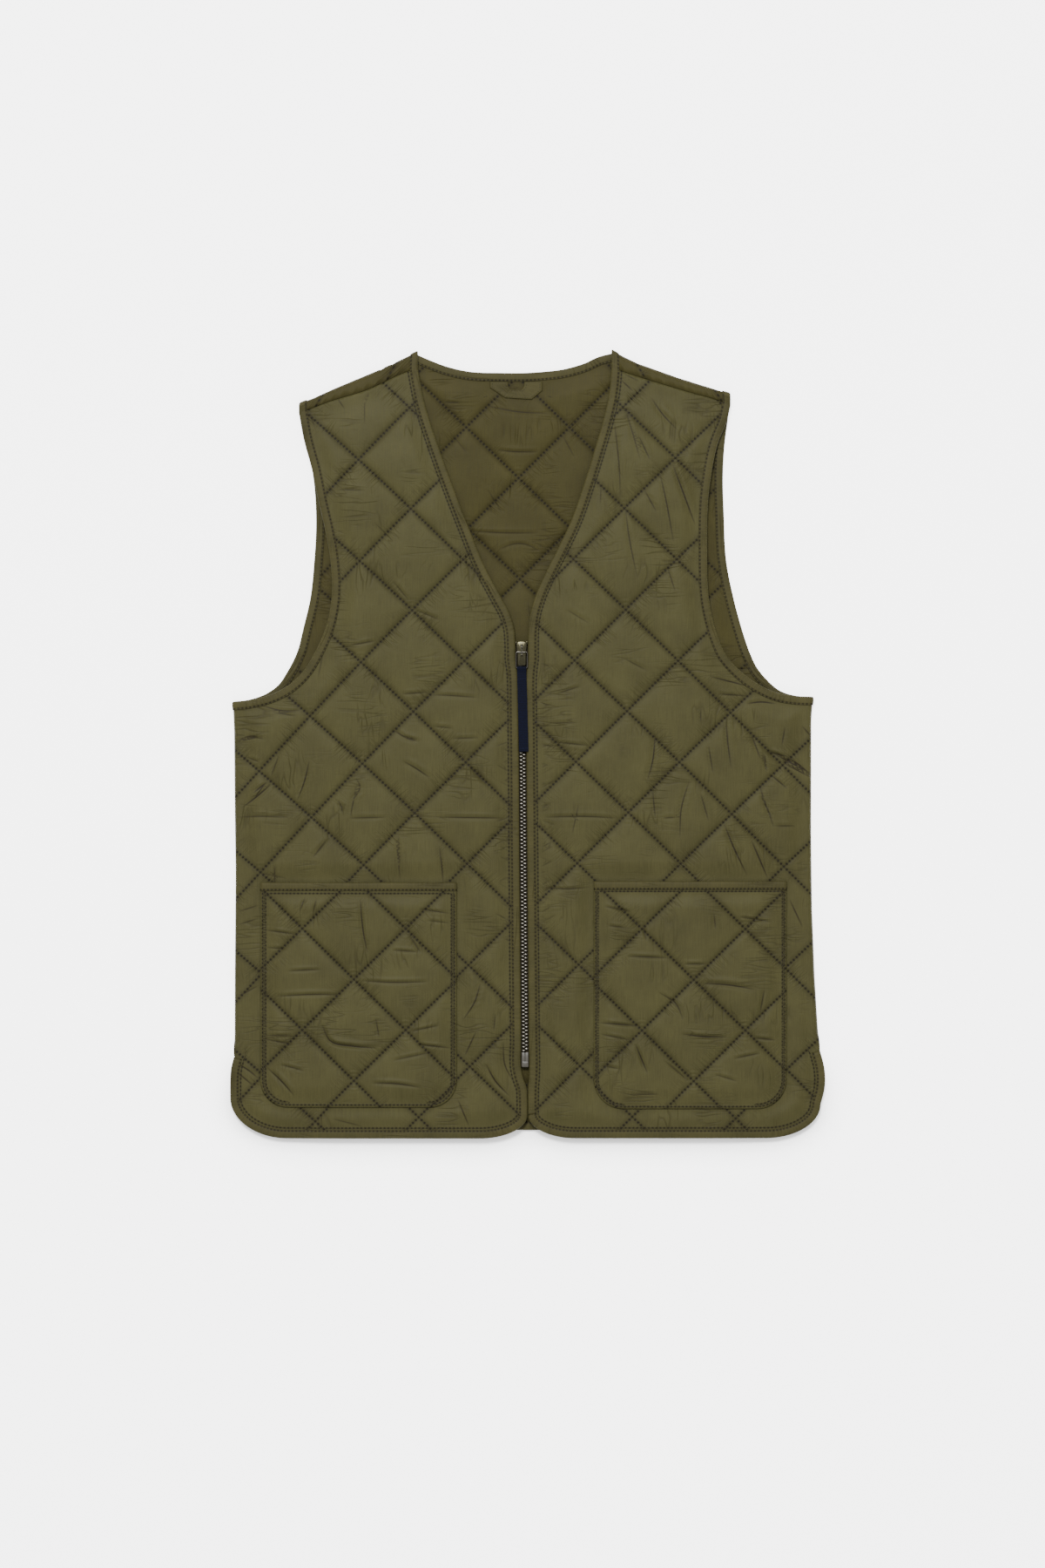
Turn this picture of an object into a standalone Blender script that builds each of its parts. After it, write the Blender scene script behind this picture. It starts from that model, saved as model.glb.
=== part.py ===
"""A quilted vest with a V neck, bound edges, a front zip and two patch pockets, laid flat on its back.

The frame is +Z up with the surface it lies on at Z 0, +Y towards the neck and +X to the right as seen from
above, so left and right below are the viewer's. The origin is under the middle of the vest's outline.

Every panel is cut from flat cloth: an outline in millimetres is triangulated, raised into a wall that is
quilted on the side that shows, and then laid in place by a function that rolls it over at the side seams and
the shoulders. Bindings are folded strips lofted round the same outlines, so nothing needs fitting.
"""

import math

import bmesh
import bpy
import numpy as np
from mathutils import Vector
from mathutils.geometry import delaunay_2d_cdt

MM = 0.001

# Driving dimensions, in millimetres
WALL = 1.4  # a quilted wall where a seam presses it flat
PUFF = 2.6  # how far the wadding stands above the seams on the side that shows
GAP = 0.3  # clearance between pieces that are sewn together
BINDING_LEG = 0.7  # one thickness of the folded binding strip
BINDING_WIDTH = 7.5
BINDING_HALF = WALL / 2 + GAP + BINDING_LEG
EDGE_INSET = BINDING_LEG + GAP  # how far a panel's cut edge lies inside its binding's outer edge
PRESSED = BINDING_WIDTH + 1.0  # the wadding is pressed flat this far in from a bound edge
ROLL = 2.3  # radius of the middle of the wall where it turns over at the sides and shoulders
BACK_MIDDLE = BINDING_HALF  # height of the middle of the back's wall
FRONT_MIDDLE = BACK_MIDDLE + 2 * ROLL
LOFT = 3.6  # the air between back and fronts away from the sides
LOFT_REACH = 100.0
VENT_OPENING = 18.0  # length over which the side seam's roll opens out above the top of the vent
ROLL_OUTER = ROLL + WALL / 2
ROLL_ARC = ROLL * math.pi / 2
ROLL_LEVELS = [0, ROLL_ARC / 3, ROLL_ARC * 2 / 3]  # how far round the side's roll the cloth is creased
SHOULDER_LEVELS = [ROLL * math.pi * step / 6 for step in range(7)]
FADE = 12.0  # the puffs rise to their full height over this distance from a seam or an edge

# Quilting: half-diagonals of a diamond, and a crossing of two seams on each panel
QUILT_X, QUILT_Y = 45.6, 44.7
QUILT_LEAN = -0.013  # the fronts and back lie turned by this slope
QUILT_CUTS = 3  # parts that a diamond's side is divided into
QUILT_CROSSING = {
    "front_left": (-104.0, 118.2),
    "front_right": (87.4, 119.3),
    "back": (-8.1, 234.5),
    "pocket_left": (-153.2, -208.0),
    "pocket_right": (146.3, -208.3),
}

# Outlines as laid, to the outer edge of the binding. Columns: x, y.
SIDE_SEAM = {
    "left": [(-260.3, 36.8), (-259.3, 10), (-258.7, -60), (-258, -115), (-258.7, -200), (-258.9, -277)],
    "right": [(251.8, 41.2), (250.4, 20), (250.3, -80), (251, -145), (253.3, -205), (257.4, -271)],
}
FRONT_ARMHOLE = {
    "left": [(-202, 292), (-198, 270), (-190, 240), (-184.8, 214.5), (-178.6, 187.5), (-174, 160.5), (-173.3, 126),
             (-178, 103), (-187, 82), (-199, 62.5), (-212.5, 50.5), (-228, 42.7), (-245, 38.5), (-260.9, 36.8)],
    "right": [(179, 298.4), (176, 285), (168.6, 266.8), (161, 230.6), (158.2, 173), (161.7, 116.7),
              (168, 93.6), (175, 78), (183.5, 68), (205.6, 51.2), (219.5, 45), (235, 42), (252.4, 41.2)],
}
BACK_ARMHOLE = {
    "left": [(-200.5, 285), (-195.6, 264.5), (-190.2, 240), (-187.5, 214), (-187.1, 187.5), (-188.7, 160.5),
             (-192.5, 126), (-198, 103), (-204, 80), (-212, 64), (-221, 51), (-232, 43.5), (-245.5, 38.8),
             (-260.9, 36.8)],
    "right": [(177, 287.6), (174, 264.5), (172.5, 237.5), (173.3, 203), (175.6, 160.5),
              (182.5, 126), (188.7, 103), (196.4, 80), (202, 68), (211, 56.6), (224, 46), (237, 42.2),
              (252.4, 41.2)],
}
SHOULDER_FOLD = [
    (-230, 291.5), (-203.3, 299.5), (-189.4, 304.8), (-170.9, 313.3), (-134, 328.7), (-115.5, 337.1),
    (-100.1, 344.6), (-90, 349.6), (66, 352), (75.5, 346.6), (80, 344), (87.8, 340), (97, 335.6),
    (134, 322.5), (170.9, 311), (181.7, 308), (210, 300),
]
SHOULDER_SEAM = {
    "left": [(-202, 292), (-193.3, 294.8), (-175.6, 301.5), (-143.2, 311.5), (-107.8, 327.6), (-97, 331.5)],
    "right": [(179, 298.4), (171.6, 301.5), (142.5, 310), (114, 318.6), (81.6, 329.2), (74, 332.5)],
}
BACK_NECK = [
    (-88, 339.2), (-69.3, 332.3), (-50.8, 328.4), (-25, 327.4), (-4.6, 327.3), (14, 328.4),
    (32.3, 330.7), (50.8, 336.1), (63, 341.7),
]
NECKLINE = {
    "left": [(-97, 331.5), (-91.2, 301.5), (-79, 263), (-67.4, 230.6), (-52, 190.6), (-38.5, 157.5),
             (-24, 130), (-16, 115), (-12.2, 102.8), (-10.9, 88), (-10.7, 74)],
    "right": [(74, 332.5), (72, 310.7), (67, 287.6), (58.5, 257.6), (48.9, 226.8), (37.3, 194.4),
              (26.2, 171.3), (14.6, 148.2), (5.6, 126.7), (1.8, 112.8), (0.4, 100), (0.1, 88), (0.2, 74)],
}
# The fronts' edges beside and below the zip, down to the rounded corner
FRONT_EDGE = {
    "left": [(-10.7, 74), (-9.4, 66), (-8.7, 56), (-8.4, 36), (-7.2, -110), (-5.9, -262), (-5.6, -288),
             (-3.6, -296), (-1.0, -303), (-0.3, -312), (-0.2, -327.5)],
    "right": [(0.2, 74), (-1.0, 66), (-1.7, 56), (-1.5, 36), (-0.3, -110), (1.0, -262), (1.2, -288),
              (0.9, -296), (0.4, -303), (0.2, -312), (0.2, -327.5)],
}
VENT_EDGE = {
    "left": [(-259.5, -277), (-262, -288), (-262.6, -300), (-262.6, -312.4)],
    "right": [(258, -271), (261.8, -286), (262.6, -296), (261.8, -306), (258.5, -318.5)],
}
HEM = {"left": -348.4, "right": -348.2}
BACK_HEM = -341.5
BACK_VENT = {"left": -259.5, "right": 258.0}
FRONT_CORNER = (42.0, 21.0)  # half-axes of the rounded corner at the zip
VENT_CORNER = {"left": (50.0, 36.0), "right": (48.0, 29.7)}
BACK_CORNER = (48.0, 34.0)
SIDE_SIGN = {"left": -1, "right": 1}

# Zip: it leans a little, like the fronts. Lengths along Y; heights above the surface.
ZIP_TOP, ZIP_TOP_X, ZIP_LEAN = 86.0, -5.4, -0.0085
ZIP_BOTTOM = -272.0
ZIP_MIDDLE = FRONT_MIDDLE + LOFT
CHAIN_WIDTH, CHAIN_THICK = 6.0, 2.4
TAPE_WIDTH, TAPE_THICK = 14.0, 0.7
BOX_LENGTH, BOX_WIDTH, BOX_THICK = 13.0, 6.0, 3.0
TAPE_TOP_Z = ZIP_MIDDLE - BINDING_HALF - GAP
SLIDER_LOW, SLIDER_LENGTH, SLIDER_HALF_LOW, SLIDER_HALF_HIGH = 76.0, 14.0, 3.6, 4.7
PLATE_THICK, SLIDER_NECK = 1.2, 2.6
PLATE_TOP_Z = TAPE_TOP_Z + GAP + CHAIN_THICK + GAP + PLATE_THICK
BAIL_WIRE, BAIL_LOW, BAIL_HIGH, BAIL_TOP_Z = 0.6, 77.4, 86.6, PLATE_TOP_Z + 3.0
PULL_WIRE, PULL_HALF, PULL_LENGTH = 0.6, 5.0, 14.1
PULL_AXIS_Y, PULL_AXIS_Z = 80.5, PLATE_TOP_Z + 1.3
PULL_TAPE_HALF, PULL_TAPE_END, PULL_TAPE_LEAN = 4.1, -7.3, -0.026
PULL_TAPE_LAYER = 0.6

# Pockets. Columns: left, right, top, bottom, corner radius.
POCKETS = {
    "left": (-236.0, -62.5, -122.5, -320.8, 24.0),
    "right": (58.2, 228.5, -121.5, -322.0, 26.0),
}
POCKET_MIDDLE = WALL + 0.5  # height of the middle of a pocket's wall above the front's, and more at its mouth
POCKET_MOUTH = BINDING_HALF - WALL / 2 - 0.2
POCKET_MOUTH_REACH = 40.0

# Hanger loop: a flat folded strip under the back neck's binding. Columns: x, y.
LOOP_OUTER = [(-33.5, 319.4), (-33.3, 314.2), (-20, 305.3), (3.5, 303.8), (12.9, 311.7), (12.9, 319.4)]
LOOP_INNER = [(-3.0, 319.4), (-5.5, 312.4), (-15.5, 312.8), (-17.5, 319.4)]
LOOP_THICK = 1.2

OLIVE = (0.090, 0.078, 0.036)
OLIVE_BINDING = (0.078, 0.068, 0.031)
NAVY = (0.012, 0.014, 0.030)
NICKEL = (0.60, 0.58, 0.53)


def clear_scene():
    for item in list(bpy.data.objects):
        bpy.data.objects.remove(item)


def make_collection(name):
    collection = bpy.data.collections.new(name)
    bpy.context.scene.collection.children.link(collection)
    return collection


def make_material(name, colour, roughness, metallic=0.0):
    material = bpy.data.materials.new(name)
    material.use_nodes = True
    shader = material.node_tree.nodes["Principled BSDF"]
    shader.inputs["Base Color"].default_value = (*colour, 1)
    shader.inputs["Roughness"].default_value = roughness
    shader.inputs["Metallic"].default_value = metallic
    return material


def ease(t):
    """0 below 0, 1 above 1, and a smooth step between."""
    t = np.clip(t, 0, 1)
    return t * t * (3 - 2 * t)


def smooth(rows, step):
    """Points about step apart on a cubic curve through the rows."""
    p = np.array(rows, float)
    along = np.concatenate([[0], np.cumsum(np.hypot(*np.diff(p, axis=0).T))])
    slope = np.gradient(p, along, axis=0)
    at = np.linspace(0, along[-1], max(2, round(along[-1] / step) + 1))
    i = np.clip(np.searchsorted(along, at, "right") - 1, 0, len(p) - 2)
    span = (along[i + 1] - along[i])[:, None]
    u = (at - along[i])[:, None] / span
    start, end = p[i], p[i + 1]
    return (
        start * (1 + 2 * u) * (1 - u) ** 2
        + end * u * u * (3 - 2 * u)
        + slope[i] * span * u * (1 - u) ** 2
        - slope[i + 1] * span * u * u * (1 - u)
    )


def corner(centre, half_axes, start, end, count):
    """Points on a quarter of an ellipse, from angle start to end in degrees."""
    angle = np.radians(np.linspace(start, end, count))
    return np.array(centre) + np.stack([np.cos(angle), np.sin(angle)], 1) * np.array(half_axes)


def chain(*stretches):
    """Stretches of an outline joined, with a point that two of them share kept once."""
    joined = np.concatenate(stretches)
    apart = np.hypot(*np.diff(joined, axis=0).T) > 0.4
    return joined[np.concatenate([[True], apart])]


def inward(points, left_side):
    """Unit normals of an open outline, on its left or right side as it is walked."""
    ahead = np.gradient(points, axis=0)
    ahead /= np.hypot(*ahead.T)[:, None]
    turned = np.stack([-ahead[:, 1], ahead[:, 0]], 1)
    return turned if left_side else -turned


def inset(loop, distance):
    """A closed loop, walked anticlockwise, moved inwards."""
    ahead = np.roll(loop, -1, 0) - np.roll(loop, 1, 0)
    ahead /= np.hypot(*ahead.T)[:, None]
    return loop + np.stack([-ahead[:, 1], ahead[:, 0]], 1) * distance


def distance_to(points, line, closed=True):
    """Distance of each point from a line of straight stretches."""
    ends = np.roll(line, -1, 0) if closed else line[1:]
    starts = line if closed else line[:-1]
    stretch = ends - starts
    offset = points[:, None] - starts[None]
    share = np.clip((offset * stretch).sum(2) / (stretch**2).sum(1), 0, 1)
    return np.linalg.norm(offset - share[..., None] * stretch, axis=2).min(1)


def inside(points, loop):
    """Whether each point is inside a closed loop, by counting crossings."""
    x, y = points[:, 0, None], points[:, 1, None]
    x0, y0 = loop.T
    x1, y1 = np.roll(loop, -1, 0).T
    rise = np.where(y1 == y0, 1e-12, y1 - y0)
    crosses = ((y0 > y) != (y1 > y)) & (x < (x1 - x0) * (y - y0) / rise + x0)
    return crosses.sum(1) % 2 == 1


def quilt_fractions(points, crossing, lean):
    """How many diamonds a point is from the crossing, along each of the two families of seams."""
    y = points[:, 1] - crossing[1]
    x = points[:, 0] - crossing[0] - lean * y
    return (x / QUILT_X + y / QUILT_Y) / 2, (x / QUILT_X - y / QUILT_Y) / 2


def quilt_point(first, second, crossing, lean):
    """The point at these fractions: the inverse of quilt_fractions."""
    y = QUILT_Y * (first - second)
    return np.stack([crossing[0] + QUILT_X * (first + second) + lean * y, crossing[1] + y], -1)


def quilt_height(points, crossing, lean):
    """0 on a seam, rising steeply to a soft crown of 1 in the middle of each diamond."""
    first, second = quilt_fractions(points, crossing, lean)
    return np.sqrt(np.abs(np.sin(math.pi * first) * np.sin(math.pi * second)))


def quilt_seams(loop, crossing, lean):
    """The straight seams of both families that reach the loop's box, as pairs of end points."""
    low, high = loop.min(0), loop.max(0)
    box = np.array([low, (low[0], high[1]), (high[0], low[1]), high])
    first, second = quilt_fractions(box, crossing, lean)
    a0, a1 = math.floor(first.min()), math.ceil(first.max())
    b0, b1 = math.floor(second.min()), math.ceil(second.max())
    seams = [quilt_point(np.array([a, a]), np.array([b0, b1]), crossing, lean) for a in range(a0, a1 + 1)]
    seams += [quilt_point(np.array([a0, a1]), np.array([b, b]), crossing, lean) for b in range(b0, b1 + 1)]
    return seams


def quilt_nodes(loop, crossing, lean, cuts):
    """The points that divide each diamond's side into cuts parts, over the loop's box."""
    low, high = loop.min(0), loop.max(0)
    box = np.array([low, (low[0], high[1]), (high[0], low[1]), high])
    first, second = quilt_fractions(box, crossing, lean)
    a = np.arange(math.floor(first.min()) * cuts, math.ceil(first.max()) * cuts + 1) / cuts
    b = np.arange(math.floor(second.min()) * cuts, math.ceil(second.max()) * cuts + 1) / cuts
    a, b = np.meshgrid(a, b)
    return quilt_point(a.ravel(), b.ravel(), crossing, lean)


def triangulate(loop, lines, points):
    """Flat triangles that fill the loop and hold every line and point: (points, triangles)."""
    vertices = [Vector(p) for p in loop]
    face = list(range(len(loop)))
    edges = []
    for line in lines:
        start = len(vertices)
        vertices += [Vector(p) for p in line]
        edges += [(start + i, start + i + 1) for i in range(len(line) - 1)]
    vertices += [Vector(p) for p in points]
    found, _, faces, _, _, sources = delaunay_2d_cdt(vertices, edges, [face], 0, 1e-3)
    kept = [f for f, source in zip(faces, sources) if source]
    used = sorted({i for f in kept for i in f})
    place = {old: new for new, old in enumerate(used)}
    return np.array([found[i] for i in used]), [[place[i] for i in f] for f in kept]


def rim_of(faces):
    """The vertices round the edge of flat faces, in order."""
    edges = {(a, b) for f in faces for a, b in zip(f, f[1:] + f[:1])}
    following = {a: b for a, b in edges if (b, a) not in edges}
    rim = [next(iter(sorted(following)))]
    while len(rim) < len(following):
        rim.append(following[rim[-1]])
    return rim


def mesh_object(name, vertices, faces, material, collection):
    """An object from points in millimetres, with its faces turned outwards."""
    mesh = bpy.data.meshes.new(name)
    mesh.from_pydata((np.asarray(vertices) * MM).tolist(), [], faces)
    work = bmesh.new()
    work.from_mesh(mesh)
    bmesh.ops.recalc_face_normals(work, faces=work.faces)
    work.to_mesh(mesh)
    work.free()
    mesh.materials.append(material)
    item = bpy.data.objects.new(name, mesh)
    collection.objects.link(item)
    return item


def wall(name, loop, place, faces_out, lines, points, material, collection):
    """A cloth wall: the loop is triangulated once for each face, both are laid in place, and the rim is closed.

    faces_out, lines and points each hold one entry for the quilted face and one for the plain one. faces_out
    gives each face's distance from the wall's middle, at flat points.
    """
    flat_a, tris_a = triangulate(loop, lines[0] + lines[1], points[0])
    rim_a = rim_of(tris_a)
    rim = flat_a[rim_a]
    flat_b, tris_b = triangulate(rim, lines[1], points[1])
    rim_b = [int(np.hypot(*(flat_b - p).T).argmin()) for p in rim]
    if len(set(rim_b)) < len(rim) or len(rim_of(tris_b)) != len(rim):
        raise ValueError(f"{name}: the two faces' rims differ")
    vertices = np.concatenate([place(flat_a, faces_out[0](flat_a)), place(flat_b, faces_out[1](flat_b))])
    shift = len(flat_a)
    faces = tris_a + [[i + shift for i in reversed(f)] for f in tris_b]
    for k in range(len(rim)):
        n = (k + 1) % len(rim)
        faces.append([rim_a[n], rim_a[k], rim_b[k] + shift, rim_b[n] + shift])
    return mesh_object(name, vertices, faces, material, collection)


def loft(name, sections, closed, material, collection):
    """A solid through sections that each have the same number of points: a loop of sections, or capped ends."""
    count, size = sections.shape[:2]
    faces = []
    for s in range(count if closed else count - 1):
        t = (s + 1) % count
        for k in range(size):
            n = (k + 1) % size
            faces.append([s * size + k, s * size + n, t * size + n, t * size + k])
    if not closed:
        faces.append(list(range(size))[::-1])
        faces.append([(count - 1) * size + k for k in range(size)])
    return mesh_object(name, sections.reshape(-1, 3), faces, material, collection)


def shoulder_fold(x):
    """Y where the back starts to turn over at the shoulder."""
    return np.interp(x, *np.array(SHOULDER_FOLD).T) - ROLL_OUTER


def roll_start(side, y):
    """X where the roll at the side seam starts, the outer side of the roll being the vest's side."""
    rows = np.array(SIDE_SEAM[side][::-1])
    return np.interp(y, rows[:, 1], rows[:, 0]) - SIDE_SIGN[side] * ROLL_OUTER


def roll_past(side, points):
    """How far flat points are past the start of the side's roll."""
    return SIDE_SIGN[side] * (points[:, 0] - roll_start(side, points[:, 1]))


def roll_bend(side, points):
    """Where the side's roll takes flat points: run outwards, rise or drop, and angle turned through."""
    vent_top = SIDE_SEAM[side][-1][1]
    curve = ease((points[:, 1] - vent_top) / VENT_OPENING) / ROLL + 1e-6
    turn = curve * np.maximum(roll_past(side, points), 0)
    return np.sin(turn) / curve, (1 - np.cos(turn)) / curve, turn


def loft_rise(points):
    """How far the fronts stand above their level at the side seams and shoulders."""
    from_side = -np.maximum(roll_past("left", points), roll_past("right", points))
    seam = np.array(SHOULDER_SEAM["left"] + SHOULDER_SEAM["right"][::-1])
    from_shoulder = np.interp(points[:, 0], *seam.T) - points[:, 1]
    return LOFT * ease(from_side / LOFT_REACH) * ease(from_shoulder / LOFT_REACH)


def lay_front(side):
    """The function that lays flat points of a front in place, out being away from the wearer."""

    def place(points, out):
        run, drop, turn = roll_bend(side, points)
        rolled = roll_start(side, points[:, 1]) + SIDE_SIGN[side] * (run + out * np.sin(turn))
        x = np.where(roll_past(side, points) > 0, rolled, points[:, 0])
        return np.stack([x, points[:, 1], FRONT_MIDDLE + loft_rise(points) - drop + out * np.cos(turn)], 1)

    return place


def lay_back(points, out):
    """Lays flat points of the back in place. Past the shoulder fold the cloth turns over and comes forwards."""
    x, y = points.T
    lift, tilt = 0.0, 0.0
    for side in ("left", "right"):
        run, rise, turn = roll_bend(side, points)
        rolled = roll_start(side, y) + SIDE_SIGN[side] * (run + out * np.sin(turn))
        x = np.where(roll_past(side, points) > 0, rolled, x)
        lift, tilt = lift + rise, tilt + turn
    fold = shoulder_fold(points[:, 0])
    over = np.maximum(y - fold, 0)
    angle = np.minimum(over / ROLL, math.pi)
    forward = np.maximum(over - math.pi * ROLL, 0)
    y = np.where(over > 0, fold + (ROLL + out) * np.sin(angle) - forward, y)
    height = BACK_MIDDLE + lift + ROLL * (1 - np.cos(angle)) - out * np.cos(angle) * np.cos(tilt)
    return np.stack([x, y, height], 1)


def lay_pocket(side):
    """The function that lays a pocket's flat points on its front, a little further off at the mouth."""
    lay, top = lay_front(side), POCKETS[side][2]

    def place(points, out):
        mouth = ease(1 - (top - points[:, 1]) / POCKET_MOUTH_REACH)
        return lay(points, out + POCKET_MIDDLE + POCKET_MOUTH * mouth)

    return place


def binding_sections(path, place):
    """The folded strip's section at each point of an outline: its outer skin, then the slot for the panel."""
    edge, across = path
    half, slot = BINDING_HALF, WALL / 2 + GAP
    profile = [  # distance in from the outer edge, distance out from the wall's middle
        (BINDING_WIDTH, half - 0.2),
        (1.2, half),
        (0, 0.5),
        (0, -0.5),
        (1.2, -half),
        (BINDING_WIDTH, -half + 0.2),
        (BINDING_WIDTH, -slot),
        (BINDING_LEG, -slot),
        (BINDING_LEG, slot),
        (BINDING_WIDTH, slot),
    ]
    points = [place(edge + across * depth, np.full(len(edge), out)) for depth, out in profile]
    return np.stack(points, 1)


def cut_at(path, value, levels):
    """The path with points added where a value measured along it passes each level."""
    rows = [path[:1]]
    for i in range(len(path) - 1):
        low, high = value[i], value[i + 1]
        shares = sorted((level - low) / (high - low) for level in levels if min(low, high) < level < max(low, high))
        rows += [path[i : i + 1] + (path[i + 1] - path[i]) * share for share in shares]
        rows.append(path[i + 1 : i + 2])
    return chain(*rows)


def side_levels(side):
    """The heights along Y at which a side seam is divided, top to bottom, closer where its roll opens out."""
    low = SIDE_SEAM[side][-1][1]
    straight = [y for x, y in SIDE_SEAM[side] if y > low + VENT_OPENING + 8]
    return np.concatenate([straight, low + VENT_OPENING * np.linspace(1, 0, 5)])


def side_line(side, share):
    """A flat line along the side seam, this share of the way through the roll."""
    y = side_levels(side)
    return np.stack([roll_start(side, y) + SIDE_SIGN[side] * ROLL_ARC * share, y], 1)


def side_seam(side):
    """The side seam as cut, a quarter turn past the start of the roll and short of it by half the seam's gap."""
    return side_line(side, 1) - np.array([SIDE_SIGN[side] * GAP / 2, 0])


def roll_creases(side):
    return [side_line(side, share) for share in (0, 1 / 3, 2 / 3)]


def shoulder_creases(side):
    """Flat lines of the back along which it turns over at a shoulder."""
    seam = np.array(SHOULDER_SEAM[side])[:, 0]
    folds = np.array(SHOULDER_FOLD)[:, 0]
    low, high = seam.min() - 3, seam.max() + 3
    x = np.concatenate([[low], folds[(folds > low) & (folds < high)], [high]])
    return [np.stack([x, shoulder_fold(x) + level], 1) for level in SHOULDER_LEVELS]


def shoulder_seam(side):
    """The shoulder seam as laid, from the armhole to the neck, with a point wherever the fold behind it bends."""
    seam = smooth(SHOULDER_SEAM[side], 20)
    return cut_at(seam, seam[:, 0], [x for x, y in SHOULDER_FOLD])


def shoulder_seam_back(side):
    """The shoulder seam on the back's flat cloth, from the armhole to the neck."""
    seam = shoulder_seam(side)
    seam[:, 1] = 2 * shoulder_fold(seam[:, 0]) + math.pi * ROLL - seam[:, 1]
    return seam


def over_shoulder(side, at_neck):
    """The back's bound edge from the shoulder seam down over the roll, and the way into the cloth along the fold."""
    x, y = shoulder_seam_back(side)[-1 if at_neck else 0]
    inwards = SIDE_SIGN[side] * (1 if at_neck else -1)
    heights = [y] + [shoulder_fold(x) + level for level in SHOULDER_LEVELS[::-1]]
    slope = shoulder_fold(x + inwards) - shoulder_fold(x)
    across = np.array([inwards, slope]) / math.hypot(1, slope)
    return np.array([(x, h) for h in heights]), across


def front_lower_path(side):
    """A front's bound edge from the top of the vent round the hem and up the zip edge and neck."""
    sign, hem = SIDE_SIGN[side], HEM[side]
    vent = smooth(VENT_EDGE[side], 12)
    edge = smooth(FRONT_EDGE[side][::-1], 18)
    rx, ry = FRONT_CORNER
    vx, vy = VENT_CORNER[side]
    outer = corner((vent[-1][0] - sign * vx, hem + vy), (vx * sign, vy), 0, -90, 7)
    inner = corner((edge[0][0] + sign * rx, hem + ry), (-rx * sign, ry), -90, 0, 7)
    hem_run = smooth([outer[-1], inner[0]], 34)
    points = chain(vent, outer, hem_run, inner, edge, smooth(NECKLINE[side][::-1], 15))
    across = inward(points, side == "left")
    seam = np.array(SHOULDER_SEAM[side])
    across[-1] = (seam[-2] - seam[-1]) / np.hypot(*(seam[-2] - seam[-1]))
    return points, across


def front_armhole_path(side):
    """A front's bound armhole from the shoulder seam to the side seam."""
    points = smooth(FRONT_ARMHOLE[side], 13)
    points[-1] = side_line(side, 1)[0]
    points = cut_at(points, roll_past(side, points), ROLL_LEVELS)
    across = inward(points, side == "left")
    seam = np.array(SHOULDER_SEAM[side])
    across[0] = (seam[1] - seam[0]) / np.hypot(*(seam[1] - seam[0]))
    across[-1] = (0, -1)
    return points, across


def back_armhole_path(side):
    """The back's bound armhole from the shoulder seam to the side seam."""
    over, along = over_shoulder(side, False)
    points = chain(over, smooth([tuple(over[-1])] + BACK_ARMHOLE[side], 13))
    points[-1] = side_line(side, 1)[0]
    points = cut_at(points, roll_past(side, points), ROLL_LEVELS)
    across = inward(points, side == "left")
    across[: len(over)] = along
    across[-1] = (0, -1)
    return points, across


def back_neck_path():
    """The back's bound neck from the left shoulder seam to the right one."""
    left, left_along = over_shoulder("left", True)
    right, right_along = over_shoulder("right", True)
    neck = smooth([tuple(left[-1])] + BACK_NECK + [tuple(right[-1])], 13)
    points = chain(left, neck, right[::-1])
    across = inward(points, False)
    across[: len(left)] = left_along
    across[-len(right) :] = right_along
    return points, across


def back_hem_path():
    """The back's bound edge from the top of the left vent round the hem to the top of the right one."""
    rx, ry = BACK_CORNER
    left, right = BACK_VENT["left"], BACK_VENT["right"]
    low = BACK_HEM + ry
    down = smooth([(left, SIDE_SEAM["left"][-1][1]), (left, low)], 15)
    up = smooth([(right, low), (right, SIDE_SEAM["right"][-1][1])], 15)
    first = corner((left + rx, low), (rx, ry), 180, 270, 7)
    last = corner((right - rx, low), (rx, ry), 270, 360, 7)
    points = chain(down, first, smooth([first[-1], last[0]], 34), last, up)
    return points, inward(points, True)


def cut_edge(path):
    """The panel's cut edge inside its binding."""
    points, across = path
    return points + across * EDGE_INSET


def armhole_cut(path, side):
    """An armhole's cut edge, clear of the shoulder seam and the side seam by half their gap."""
    points = cut_edge(path)
    points[0, 1] -= GAP / 2
    points[-1, 0] -= SIDE_SIGN[side] * GAP / 2
    return points


def closed(loop):
    return np.concatenate([loop, loop[:1]])


def plain_face(points):
    return np.full(len(points), -WALL / 2)


def pocket_outline(side, grow=0.0, mouth_drop=0.0):
    """A pocket's outline, anticlockwise from its top right corner: square at the mouth, rounded below."""
    left, right, top, bottom, radius = POCKETS[side]
    radii = (radius + grow, radius + grow)
    low = corner((left + radius, bottom + radius), radii, 180, 270, 6)
    far = corner((right - radius, bottom + radius), radii, 270, 360, 6)
    upper_right, upper_left = (right + grow, top + grow - mouth_drop), (left - grow, top + grow - mouth_drop)
    mouth = smooth([upper_right, upper_left], 24)
    return chain(mouth, smooth([upper_left, low[0]], 45), low, far, smooth([far[-1], upper_right], 45)[:-1])


def fine_points(loop, crossing, lean, cuts, margin):
    nodes = quilt_nodes(loop, crossing, lean, cuts)
    return nodes[inside(nodes, loop) & (distance_to(nodes, loop) > margin)]


def front_outline(side):
    """A front's cut outline, anticlockwise."""
    lower, armhole = cut_edge(front_lower_path(side)), armhole_cut(front_armhole_path(side), side)
    lower[-1, 1] -= GAP / 2
    shoulder = shoulder_seam(side)[::-1]
    shoulder[:, 1] -= GAP / 2
    loop = chain(lower, shoulder[1:-1], armhole, side_seam(side)[1:-1])
    return loop if side == "left" else loop[::-1]


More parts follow.
